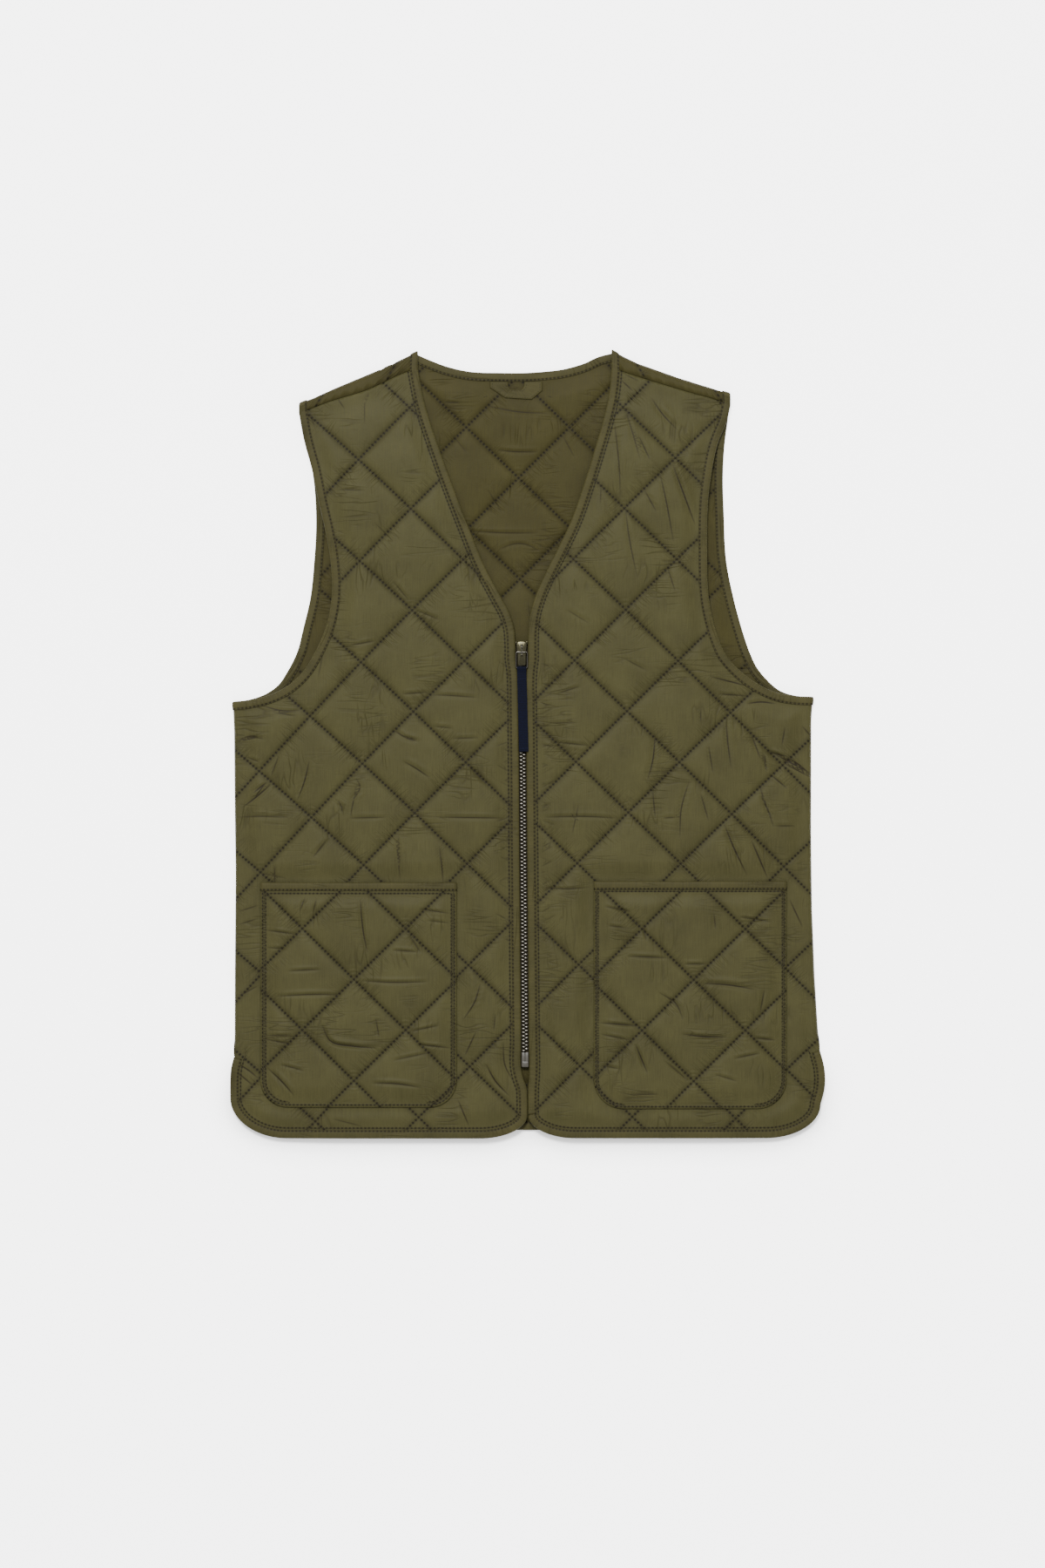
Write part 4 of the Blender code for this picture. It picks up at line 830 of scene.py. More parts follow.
def net(loop, quilt, cuts, closer=0):
    """A flat net in the outline whose lines follow the quilting: points and triangles.

    The net's lines lie closer at the seams, cells with their middle inside the outline are kept, and the kept
    part's border is drawn to the outline.
    """
    low, high = loop.min(0) - 1, loop.max(0) + 1
    lines = []
    for share in box_fractions(low, high, quilt):
        whole = np.arange(math.floor(share.min()), math.ceil(share.max()))
        counts = [closer if closer and NECK_REACH[0] <= k < NECK_REACH[1] else cuts for k in whole]
        t = np.concatenate([k + np.arange(n) / n for k, n in zip(whole, counts)] + [whole[-1:] + 1.0])
        lines.append(t - SEAM_DENSITY * np.sin(2 * math.pi * t) / (2 * math.pi))
    points = quilt_point(*np.meshgrid(*lines, indexing="ij"), quilt)
    middles = (points[1:, 1:] + points[:-1, 1:] + points[1:, :-1] + points[:-1, :-1]) / 4
    kept = np.zeros(middles.shape[:2], bool)
    candidate = np.all((middles > low) & (middles < high), axis=2)
    kept[candidate] = inside(middles[candidate], loop)
    # Cells that hang on by one side go, and cells that touch only at a corner get a neighbour
    for _ in range(5):
        wide = np.pad(kept, 1).astype(int)
        kept &= wide[:-2, 1:-1] + wide[2:, 1:-1] + wide[1:-1, :-2] + wide[1:-1, 2:] >= 2
        a, b, c, d = kept[:-1, :-1], kept[1:, :-1], kept[1:, 1:], kept[:-1, 1:]
        b |= a & c & ~b & ~d
        a |= b & d & ~a & ~c
    i, j = np.nonzero(kept)
    wide = np.pad(kept, 1).astype(int)
    around = wide[1:, 1:] + wide[:-1, 1:] + wide[1:, :-1] + wide[:-1, :-1]
    index = np.cumsum((around > 0).ravel()).reshape(around.shape) - 1
    flat = points[around > 0]
    border = around[around > 0] < 4
    flat[border] = nearest_on(flat[border], loop)[:, 1:3]
    a, b, c, d = index[i, j], index[i, j + 1], index[i + 1, j + 1], index[i + 1, j]
    at_side = past_sides(middles[i, j])[:, None] > -NEAR_ROLL
    halves = [
        np.where(at_side, np.stack([a, b, d], 1), np.stack([a, b, c], 1)),
        np.where(at_side, np.stack([b, c, d], 1), np.stack([a, c, d], 1)),
    ]
    return flat, np.concatenate(halves)


def sewing_map(flat, rows):
    """How far along the nearest row of edge stitches each point is, and how far from it, in millimetres."""
    found = np.full((len(flat), 2), FAR)
    for row in rows:
        near = in_reach(flat, row, 12)
        near[near] = distance_to(flat[near], row[::6], closed=False) < 14
        distance, _, _, share, side = nearest_on(flat[near], row, closed=False).T
        closer = distance < np.abs(found[near, 1])
        measured = np.stack([share * distances(row)[-1], distance * side], 1)
        found[near] = np.where(closer[:, None], measured, found[near])
    return found


def crease_map(flat, rows):
    """How far each point is from the nearest crease's line, in millimetres, and how deep that crease is there."""
    found = np.tile([9.0, 0.0], (len(flat), 1))
    for depth, _, *units in rows:
        line = crease_line(units)
        near = in_reach(flat, line, 3)
        if near.any():
            distance, _, _, share, side = nearest_on(flat[near], line, closed=False).T
            deep = min(depth, 1.0) * crease_taper(share) * ease((3.2 - distance) / 1.4)
            closer = distance < np.abs(found[near, 0])
            found[near] = np.where(closer[:, None], np.stack([distance * side, deep], 1), found[near])
    return found


def meet_crest(flat):
    """Moves points near the crest of the shoulder's roll onto it, so that its outline is smooth."""
    past = flat[:, 1] - shoulder_fold(flat[:, 0]) - math.pi / 2 * ROLL
    flat[:, 1] -= np.where(np.abs(past) < CREST_REACH, past, 0)


def panel(name, loop, quilt, cuts, place, upper, lower, material, rows=(), creases=(), closer=0):
    """A cloth wall: the same net for both faces, laid at each face's distance, and closed round the rim."""
    flat, triangles = net(loop, quilt, cuts, closer)
    meet_crest(flat)
    count = len(flat)
    edges = np.concatenate([triangles[:, [0, 1]], triangles[:, [1, 2]], triangles[:, [2, 0]]])
    key, back_key = edges[:, 0] * count + edges[:, 1], edges[:, 1] * count + edges[:, 0]
    start, end = edges[~np.isin(key, back_key)].T
    closing = [np.stack([end, start, start + count], 1), np.stack([end, start + count, end + count], 1)]
    triangles = np.concatenate([triangles, triangles[:, ::-1] + count] + closing)
    vertices = np.concatenate([place(flat, upper(flat)), place(flat, lower(flat))])
    maps = {
        "cloth": flat * MM,
        "quilt": np.stack(quilt_fractions(flat, quilt), 1),
        "sewing": sewing_map(flat, rows),
        "crease": crease_map(flat, creases),
    }
    return make_piece(name, vertices, triangles, material, {label: np.tile(v, (2, 1)) for label, v in maps.items()})


def strip_sections(path, place, profile, ripple=0.0):
    """A folded strip's section at each point of an outline, with a slight uneven ripple along it."""
    edge, across = path
    along = distances(edge)
    wave = np.sin(along / 1.9 + 1.3 * np.sin(along / 7)) * (0.6 + 0.4 * np.sin(along / 23))
    points = [place(edge + across * depth, out + np.sign(out) * free * ripple * wave) for depth, out, free in profile]
    depths, outs, _ = np.array(profile).T
    girth = distances(np.array(profile)[:, :2])
    cloth = np.stack(np.broadcast_arrays(along[:, None], girth), -1) * MM
    folded_in = (np.abs(outs) < WALL / 2 + GAP + 0.01) & (depths > 0.1)
    from_row = np.where(folded_in, FAR, depths - BINDING_WIDTH + SEW_DEPTH)
    sewing = np.stack(np.broadcast_arrays(along[:, None], from_row), -1)
    return np.stack(points, 1), np.concatenate([cloth, sewing], 2)


def binding_profile():
    """Columns: distance in from the outer edge, distance out from the wall's middle, share of the ripple."""
    half, slot, width = BINDING_HALF, WALL / 2 + GAP, BINDING_WIDTH
    skin = [
        (width, half - 0.42, 0), (width - 0.12, half - 0.22, 0.3), (width - 0.6, half - 0.16, 0.6),
        (width - 0.95, half - 0.30, 0.2), (width - 1.4, half - 0.10, 0.8), (width - 2.6, half, 1),
        (width / 2, half, 1), (2.2, half - 0.02, 0.8), (1.1, half - 0.14, 0.4), (0.35, half - 0.6, 0.1), (0, 0.5, 0),
    ]
    under = [(depth, -out, free) for depth, out, free in skin[::-1]]
    pocket = [
        (width, -slot, 0), (BINDING_LEG, -slot, 0), (BINDING_LEG, slot, 0), (width, slot, 0),
    ]
    return skin + under + pocket


def loft(name, sections, cloth, closed, material):
    """A solid through a row of sections: a loop of them, or capped at both ends by a fan about their middle."""
    count, size = sections.shape[:2]
    vertices, maps = sections.reshape(-1, 3), cloth.reshape(-1, cloth.shape[2])
    triangles = grid_triangles(count, size, True) if closed else capped_triangles(count, size)
    if not closed:
        vertices = np.concatenate([vertices, sections[[0, -1]].mean(1)])
        maps = np.concatenate([maps, cloth[[0, -1]].mean(1)])
    sewing = maps[:, 2:] if maps.shape[1] > 2 else np.full((len(maps), 2), FAR)
    return make_piece(name, vertices, triangles, material, {"cloth": maps[:, :2], "sewing": sewing})


# One stitch: length share along, share of the half thickness across, and out
STITCH_SHAPE = np.array(
    [(-0.50, 0, -1.2), (-0.34, -1, 0.2), (-0.34, 0, 1.0), (-0.34, 1, 0.2), (-0.34, 0, -0.8),
     (0.34, -1, 0.2), (0.34, 0, 1.0), (0.34, 1, 0.2), (0.34, 0, -0.8), (0.50, 0, -1.2)]
)
STITCH_FACES = np.array(
    [(0, 2, 1), (0, 3, 2), (0, 4, 3), (0, 1, 4), (1, 2, 6), (1, 6, 5), (2, 3, 7), (2, 7, 6),
     (3, 4, 8), (3, 8, 7), (4, 1, 5), (4, 5, 8), (9, 5, 6), (9, 6, 7), (9, 7, 8), (9, 8, 5)]
)


def stitch_points(centres, ahead, out, length, thick, place):
    """Stitches as (vertices, triangles): one shape set at every centre, along its seam, laid like the cloth."""
    ahead = unit(ahead)
    along, aside, up = STITCH_SHAPE.T
    flat = (
        centres[:, None]
        + ahead[:, None] * along[:, None] * length
        + turned(ahead)[:, None] * aside[:, None] * thick / 2
    )
    height = out[:, None] + up * thick / 2
    return place(flat.reshape(-1, 2), height.ravel()), copied(STITCH_FACES, len(STITCH_SHAPE), len(centres))


def stitch_row(line, pitch, out, stitch, place):
    """A row of stitches along a line of flat points, out being one height or one for each point of the line."""
    along = distances(line)
    at = np.arange(pitch / 2, along[-1], pitch)
    ahead = sample(at, along, np.gradient(line, along, axis=0))
    height = np.interp(at, along, np.broadcast_to(out, len(along)))
    return stitch_points(sample(at, along, line), ahead, height, *stitch, place)


def quilt_stitches(loop, quilt, margin, shown, out, place):
    """Stitches along both families of seams, in the part of the outline that shown picks."""
    first, second = box_fractions(loop.min(0), loop.max(0), quilt)
    parts = []
    for way, across, along in ((-1, first, second), (1, second, first)):
        seams = np.arange(math.floor(across.min()), math.ceil(across.max()) + 1)
        at = (np.arange(math.floor(along.min()) * STITCHES, math.ceil(along.max()) * STITCHES) + 0.5) / STITCHES
        seam, share = (part.ravel().astype(float) for part in np.meshgrid(seams, at))
        centres = quilt_point(seam, share, quilt) if way < 0 else quilt_point(share, seam, quilt)
        centres = centres[inside(centres, loop)]
        centres = centres[distance_to(centres, loop[::3]) > margin]
        centres = centres[shown(centres)]
        ahead = np.array([QUILT_X + way * quilt[2] * QUILT_Y, way * QUILT_Y])
        parts.append(stitch_points(centres, np.tile(ahead, (len(centres), 1)), out(centres), *QUILT_STITCH, place))
    return parts


def tube(path, radius, closed, around=12):
    """A round wire carried along a path: (vertices, triangles). Ends are closed by a dome."""
    path = np.asarray(path, float)
    ahead = np.gradient(path, axis=0) if not closed else np.roll(path, -1, 0) - np.roll(path, 1, 0)
    ahead /= np.linalg.norm(ahead, axis=1)[:, None]
    steady = np.array([0.0, 0.0, 1.0]) if abs(ahead[:, 2]).max() < 0.8 else np.array([1.0, 0.0, 0.0])
    aside = np.cross(ahead, steady)
    aside /= np.linalg.norm(aside, axis=1)[:, None]
    up = np.cross(aside, ahead)
    reach = np.full(len(path), float(radius))
    if not closed:
        dome = np.array([0.0, 0.5, 0.86])
        shift = radius * np.sqrt(1 - dome**2)
        first = path[0] - ahead[0] * (shift[:, None] - shift[-1])
        last = path[-1] + ahead[-1] * (shift[::-1, None] - shift[-1])
        path = np.concatenate([first, path, last])
        aside, up = (np.pad(way, ((len(dome), len(dome)), (0, 0)), mode="edge") for way in (aside, up))
        reach = np.maximum(np.concatenate([dome * radius, reach, dome[::-1] * radius]), 0.01)
    angle = np.arange(around) * 2 * math.pi / around
    ring = aside[:, None] * np.cos(angle)[None, :, None] + up[:, None] * np.sin(angle)[None, :, None]
    vertices = (path[:, None] + ring * reach[:, None, None]).reshape(-1, 3)
    triangles = grid_triangles(len(path), around, closed)
    if not closed:
        turn, far = np.arange(1, around - 1), (len(path) - 1) * around
        start_cap = np.stack([turn + 1, turn, np.zeros_like(turn)], 1)
        end_cap = np.stack([far + turn, far + turn + 1, np.full_like(turn, far)], 1)
        triangles = np.concatenate([triangles, start_cap, end_cap])
    return vertices, triangles


def slab(outline, low, high, rounding):
    """A plate with this outline in plan, its upper and lower edges rounded: (vertices, triangles).

    Rings of the outline are drawn in by rounding times (1 - cos a), rounding times (1 - sin a) from a face.
    """
    outline = np.asarray(outline, float)
    into = turned(unit(np.roll(outline, -1, 0) - np.roll(outline, 1, 0)))
    angle = np.radians([90, 60, 30, 0])
    steps = list(zip(rounding * (1 - np.cos(angle)), rounding * (1 - np.sin(angle))))
    rings = [(draw, low + rise) for draw, rise in steps] + [(draw, high - rise) for draw, rise in steps[::-1]]
    levels = [np.column_stack([outline + into * draw, np.full(len(outline), z)]) for draw, z in rings]
    middle = outline.mean(0)
    vertices = np.concatenate(levels + [[(*middle, low)], [(*middle, high)]])
    return vertices, capped_triangles(len(rings), len(outline))


def rounded_outline(points, radius, count=6):
    """An anticlockwise outline with each of its corners rounded to about this radius."""
    p = np.asarray(points, float)
    before, after = np.roll(p, 1, 0) - p, np.roll(p, -1, 0) - p
    reach = np.minimum(radius, 0.45 * np.minimum(np.hypot(*before.T), np.hypot(*after.T)))[:, None]
    start, end = (p + unit(way) * reach for way in (before, after))
    t = np.linspace(0, 1, count)[None, :, None]
    curve = start[:, None] * (1 - t) ** 2 + 2 * p[:, None] * t * (1 - t) + end[:, None] * t**2
    return curve.reshape(-1, 2)


def rectangle(x0, x1, y0, y1, radius):
    return rounded_outline([(x0, y0), (x1, y0), (x1, y1), (x0, y1)], radius)


# Materials


def plug(tree, socket, value):
    """Links a socket to another one, or sets it to a value."""
    if isinstance(value, bpy.types.NodeSocket):
        tree.links.new(value, socket)
    else:
        socket.default_value = value


def node(tree, kind, sockets=None, **settings):
    """Adds a node, sets its properties and plugs its inputs, both by name."""
    made = tree.nodes.new(kind)
    for key, value in settings.items():
        setattr(made, key, value)
    for key, value in (sockets or {}).items():
        plug(tree, made.inputs[key], value)
    return made


def material_base(name):
    material = bpy.data.materials.new(name)
    material.use_nodes = True
    tree = material.node_tree
    return material, tree, tree.nodes["Principled BSDF"]


def calc(tree, operation, a, b=None, c=None, clamp=False):
    values = {i: v for i, v in enumerate((a, b, c)) if v is not None}
    return node(tree, "ShaderNodeMath", values, operation=operation, use_clamp=clamp).outputs[0]


def split_map(tree, name):
    """The two coordinates of one of the piece's maps."""
    source = node(tree, "ShaderNodeUVMap", uv_map=name)
    parts = node(tree, "ShaderNodeSeparateXYZ", {"Vector": source.outputs[0]})
    return source.outputs[0], parts.outputs[0], parts.outputs[1]


def colour_mix(tree, share, first, second, mode="MIX"):
    made = node(tree, "ShaderNodeMix", {0: share, 6: first, 7: second}, data_type="RGBA", blend_type=mode)
    return made.outputs[2]


def rgba(hex_colour):
    return (*linear(hex_colour), 1)


def noise(tree, where, scale, detail, roughness=0.5, distortion=0.0):
    sockets = {"Vector": where, "Scale": scale, "Detail": detail, "Roughness": roughness, "Distortion": distortion}
    return node(tree, "ShaderNodeTexNoise", sockets).outputs[0]


def stretched(tree, where, scale, start=(0.0, 0.0, 0.0)):
    return node(tree, "ShaderNodeMapping", {"Vector": where, "Scale": scale, "Location": start}).outputs[0]


def ramp(tree, value, low, high):
    """0 at low, 1 at high and even between."""
    return node(tree, "ShaderNodeMapRange", {"Value": value, "From Min": low, "From Max": high}).outputs[0]


def bump(tree, height, strength, distance, normal=None, invert=False):
    """The normal of a surface with this height, its distance in millimetres, on top of another normal."""
    sockets = {"Height": height, "Strength": strength, "Distance": distance * MM}
    if normal is not None:
        sockets["Normal"] = normal
    return node(tree, "ShaderNodeBump", sockets, invert=invert).outputs[0]


def falloff(tree, away, reach, top=1.0):
    """The top on a line and less by 1 for each reach away from it, kept between 0 and 1."""
    share = calc(tree, "DIVIDE", calc(tree, "ABSOLUTE", away), reach)
    return calc(tree, "SUBTRACT", top, share, clamp=True)


def waves(tree, along, pitch, kind="SINE"):
    return calc(tree, kind, calc(tree, "MULTIPLY", along, 2 * math.pi / pitch))


def weave(tree, x, y, pitches, shares):
    """Threads that cross as a height from 0 to 1: warp and weft waves of these pitches and shares."""
    warp = calc(tree, "MULTIPLY", waves(tree, x, pitches[0]), shares[0])
    weft = calc(tree, "MULTIPLY", waves(tree, y, pitches[1]), shares[1])
    return calc(tree, "ADD", calc(tree, "ADD", warp, weft), 0.5)


def mottle(tree, shader, scale, detail, face, dark):
    """Colours a piece by a fine grain, from its face colour down to that colour times dark. Returns the grain."""
    grain = noise(tree, node(tree, "ShaderNodeTexCoord").outputs["Object"], scale, detail)
    dull = colour_mix(tree, 1.0, rgba(face), (*dark, 1), "MULTIPLY")
    plug(tree, shader.inputs["Base Color"], colour_mix(tree, grain, dull, rgba(face)))
    return grain


def wrinkle_lines(tree, where, stretch, thin, seed, cover):
    """Thin wandering wrinkles in patches, from 0 to 1: the level lines of a noise stretched along one way."""
    wander = noise(tree, stretched(tree, where, stretch, (seed, seed, seed)), 1.0, 1.0, distortion=0.5)
    apart = calc(tree, "ABSOLUTE", calc(tree, "SUBTRACT", wander, 0.5))
    line = calc(tree, "SUBTRACT", 1.0, calc(tree, "MULTIPLY", apart, thin), clamp=True)
    size = min(stretch[:2]) * 0.9
    patch = noise(tree, stretched(tree, where, (size, size, 1.0), (seed, 9.0, 2.0)), 1.0, 1.0)
    return calc(tree, "MULTIPLY", line, ramp(tree, patch, cover, cover + 0.12))


def hole_row(tree, along, pitch):
    """1 at the needle holes between stitches and a little above 0 along them."""
    return calc(tree, "MULTIPLY_ADD", waves(tree, along, pitch, "COSINE"), 0.5, 0.64, clamp=True)


def seam_distance(tree, share):
    """Millimetres to the nearest seam of a family, from the quilt map."""
    return calc(tree, "MULTIPLY", calc(tree, "PINGPONG", share, 0.5), QUILT_PITCH)


def quilt_seam_shade(tree, first, second):
    """Painted shade along each quilting seam: 1 in its needle holes, and a soft shade in the valley beside it."""
    found = 0.0
    for across, along in ((first, second), (second, first)):
        away = seam_distance(tree, across)
        holes = calc(tree, "MULTIPLY", falloff(tree, away, 1.5, 1.3), hole_row(tree, along, 1 / STITCHES))
        valley = calc(tree, "MULTIPLY", falloff(tree, away, VALLEY_REACH), VALLEY_SHADE)
        found = calc(tree, "MAXIMUM", found, calc(tree, "MAXIMUM", holes, valley))
    return found


VALLEY_REACH, VALLEY_SHADE = 4.5, 0.34
THREAD_PITCH = 0.9 * MM  # real threads are about 0.15 mm apart, too fine to show
# Fine wrinkles over the whole cloth, in the cloth map, and along each family of seams, in the quilt map.
# Columns: stretch, thinness, seed, cover.
LOOSE_WRINKLES = [((24.0, 165.0, 1.0), 17.0, 0.0, 0.54), ((120.0, 26.0, 1.0), 17.0, 3.7, 0.58)]
SEAM_WRINKLES = [((2.2, 19.0, 1.0), 15.0, 8.1, 0.50), ((19.0, 2.2, 1.0), 15.0, 5.3, 0.50)]
HOLE_SHADE, FOLD_SHADE = "0F0C05", "17130A"


def nylon(name, face, shade, rough, quilted):
    """Nylon taffeta, woven of fine bright yarn and pressed: an even olive with a soft satin gloss along it."""
    material, tree, shader = material_base(name)
    where, x, y = split_map(tree, "cloth")
    broad = noise(tree, where, 28.0, 4.0, 0.55)
    yarn = noise(tree, stretched(tree, where, (1600.0, 60.0, 1.0)), 1.0, 2.0)
    tone = calc(tree, "ADD", calc(tree, "MULTIPLY", broad, 0.55), calc(tree, "MULTIPLY", yarn, 0.45))
    colour = colour_mix(tree, ramp(tree, tone, 0.32, 0.68), rgba(shade), rgba(face))
    _, along, away = split_map(tree, "sewing")
    # Painted shade in the needle holes of the edge seams
    holes = calc(tree, "MULTIPLY", falloff(tree, away, 1.0, 1.2), hole_row(tree, along, SEW_PITCH))
    fold = 0.0
    for row in LOOSE_WRINKLES:
        fold = calc(tree, "MAXIMUM", fold, wrinkle_lines(tree, where, *row))
    if quilted:
        quilt, first, second = split_map(tree, "quilt")
        holes = calc(tree, "MAXIMUM", holes, quilt_seam_shade(tree, first, second))
        for row, across in zip(SEAM_WRINKLES, (first, second)):
            near = falloff(tree, seam_distance(tree, across), FADE)
            fold = calc(tree, "MAXIMUM", fold, calc(tree, "MULTIPLY", wrinkle_lines(tree, quilt, *row), near))
    # Painted shade in the needle holes and along the seams' valleys
    colour = colour_mix(tree, holes, colour, rgba(HOLE_SHADE))
    # Painted shade along the fine wrinkles, which also bump the surface
    colour = colour_mix(tree, calc(tree, "MULTIPLY", fold, 0.3), colour, rgba(FOLD_SHADE))
    if quilted:
        # Painted shade along each crease's line, darker where the crease is deeper
        _, away, deep = split_map(tree, "crease")
        crease_shade = calc(tree, "MULTIPLY", falloff(tree, away, 1.0), calc(tree, "MULTIPLY", deep, 1.3), clamp=True)
        colour = colour_mix(tree, crease_shade, colour, rgba(FOLD_SHADE))
    plug(tree, shader.inputs["Base Color"], colour)
    plug(tree, shader.inputs["Roughness"], calc(tree, "MULTIPLY_ADD", yarn, 0.16, rough - 0.08))
    normal = bump(tree, weave(tree, x, y, (THREAD_PITCH, THREAD_PITCH), (0.34, 0.16)), 0.22, 0.12)
    normal = bump(tree, noise(tree, where, 130.0, 3.0, 0.6), 0.30, 0.8, normal)
    plug(tree, shader.inputs["Normal"], bump(tree, fold, 0.6, 0.6, normal, invert=True))
    shader.inputs["IOR"].default_value = 1.53
    shader.inputs["Specular IOR Level"].default_value = 0.05
    shader.inputs["Sheen Weight"].default_value = 0.015
    shader.inputs["Sheen Roughness"].default_value = 0.4
    shader.inputs["Sheen Tint"].default_value = rgba("A89C6E")
    return material


def sewing_thread(name, face):
    """Polyester sewing thread, spun and dyed to match: soft, slightly fuzzy and a little darker than the cloth."""
    material, tree, shader = material_base(name)
    mottle(tree, shader, 900.0, 1.0, face, (0.62, 0.62, 0.62))
    shader.inputs["Roughness"].default_value = 0.6
    shader.inputs["Specular IOR Level"].default_value = 0.1
    shader.inputs["Sheen Weight"].default_value = 0.02
    return material


def woven_tape(name, face, shade, rib, rough):
    """Polyester tape, woven narrow with a rib across: matt, with fine ridges that catch the light."""
    material, tree, shader = material_base(name)
    where, x, y = split_map(tree, "cloth")
    height = weave(tree, x, y, (0.7 * MM, rib), (0.25, 0.35))
    tone = calc(tree, "MULTIPLY", height, noise(tree, where, 700.0, 2.0))
    plug(tree, shader.inputs["Base Color"], colour_mix(tree, ramp(tree, tone, 0.05, 0.55), rgba(shade), rgba(face)))
    plug(tree, shader.inputs["Normal"], bump(tree, height, 0.6, 0.15))
    shader.inputs["Roughness"].default_value = rough
    shader.inputs["Specular IOR Level"].default_value = 0.06
    shader.inputs["Sheen Weight"].default_value = 0.02
    return material


def nickel(name, face, rough):
    """Brass or zinc, stamped or cast and nickel-plated: a warm grey metal, softly polished, faintly marked."""
    material, tree, shader = material_base(name)
    marks = mottle(tree, shader, 900.0, 3.0, face, (0.72, 0.71, 0.69))
    plug(tree, shader.inputs["Roughness"], calc(tree, "MULTIPLY_ADD", marks, 0.2, rough - 0.1))
    plug(tree, shader.inputs["Normal"], bump(tree, marks, 0.1, 0.05))
    shader.inputs["Metallic"].default_value = 1.0
    return material


def moulded_acetal(name, face):
    """Acetal, injection moulded: a dark olive plastic with a low even gloss and a fine moulded grain."""
    material, tree, shader = material_base(name)
    grain = mottle(tree, shader, 1400.0, 2.0, face, (0.7, 0.7, 0.7))
    plug(tree, shader.inputs["Normal"], bump(tree, grain, 0.2, 0.05))
    shader.inputs["Roughness"].default_value = 0.42
    shader.inputs["IOR"].default_value = 1.48
    return material


SHELL = nylon("nylon_taffeta_woven", "34321C", "2A2815", 0.56, True)
# The back's cloth is a darker copy of the shell: painted shade, as inside the neck where the back lies in shade.
SHADED_SHELL = nylon("nylon_taffeta_woven_painted_shade", "2E2B14", "25220F", 0.6, True)
BINDING = nylon("nylon_taffeta_bias_cut", "33301A", "262413", 0.58, False)
THREAD = sewing_thread("polyester_thread_olive", "2A2615")
NAVY_THREAD = sewing_thread("polyester_thread_navy", "0D1022")
ZIP_TAPE = woven_tape("polyester_zip_tape_woven", "252216", "1B170E", 1.0 * MM, 0.7)
PULL_TAPE = woven_tape("polyester_tape_navy_woven", "05071A", "030409", 1.2 * MM, 0.8)
# A darker copy of the plated nickel for the puller's ring: painted shade.
SHADED_NICKEL = nickel("brass_nickel_plated_painted_shade", "45433E", 0.2)
METAL = nickel("brass_nickel_plated", "55534D", 0.26)
CAST = nickel("zinc_die_cast_nickel_plated", "3C3A2C", 0.24)
TEETH = nickel("brass_nickel_plated_teeth", "716E66", 0.28)
PLASTIC = moulded_acetal("acetal_moulded", "242015")

# Panels


def ride_vest(*pieces):
    for piece in pieces:
        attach(piece, "vest")


def plain_face(points):
    return np.full(len(points), -WALL / 2)


def edge_fade(points, loop):
    """0 where an outline's edge is pressed flat, rising to 1 clear of it."""
    return ease((distance_to(points, loop[::3]) - PRESSED + EDGE_INSET) / FADE)


def clear_of(points, shape, every=1):
    """0 under a shape that lies on the cloth, rising to 1 clear of it."""
    return ease(np.where(inside(points, shape), 0, distance_to(points, shape[::every])) / FADE)


FRONT_CREASES = {"left": CREASES_LEFT + zip_fans("left"), "right": CREASES_RIGHT + zip_fans("right")}
FRONT_LOOPS = {side: front_outline(side) for side in SIDES}
POCKET_CREASES = {"left": CREASES_POCKET_LEFT, "right": CREASES_POCKET_RIGHT}
POCKET_SEAMS = {"left": (2.2, 4.8), "right": (1.9, 3.9)}  # how far a pocket's two rows lie in from its edge


def front_skin(side):
    """The outer face of a front: puffs, puckers, creases and swells, pressed flat at its edges and pocket."""
    quilt, loop, pocket = QUILTS[f"front_{side}"], FRONT_LOOPS[side], pocket_outline(side, 2.0)
    shoulder = shoulder_seam(side)

    def out(points):
        fade = edge_fade(points, loop) * clear_of(points, pocket, 3)
        near = np.exp(-((distance_to(points, shoulder, closed=False) / SHOULDER_CALM_REACH) ** 2))
        puff = PUFF * (1 - SHOULDER_CALM * near) * quilt_relief(points, quilt)
        loose = crease_relief(points, FRONT_CREASES[side]) + 0.16 * swells(points, 1 + SIDE_SIGN[side])
        stays = EDGE_LOOSE + (1 - EDGE_LOOSE) * fade
        return WALL / 2 + fade * (puff + puckers(points, quilt)) + loose * stays

    return out


def build_front(side):
    name = f"front_{side}"
    quilt, loop, place, skin = QUILTS[name], FRONT_LOOPS[side], lay_front(side), front_skin(side)
    lower, across = even_across(front_lower_path(side))
    beside = lower + across * (BINDING_WIDTH + 1.7)
    cloth = panel(
        f"{name}_cloth", loop, quilt, NET["front"], place, skin, plain_face, SHELL, [beside], FRONT_CREASES[side]
    )
    pocket = pocket_outline(side, 1.0)
    parts = quilt_stitches(
        loop, quilt, BINDING_WIDTH, lambda p: ~inside(p, pocket), lambda p: skin(p) + 0.06, place
    )
    parts.append(stitch_row(beside, SEW_PITCH, skin(beside) + 0.05, EDGE_STITCH, place))
    thread = make_piece(f"{name}_stitches", *joined(parts), THREAD)
    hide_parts(name)
    ride_vest(cloth, thread)
    return cloth, thread


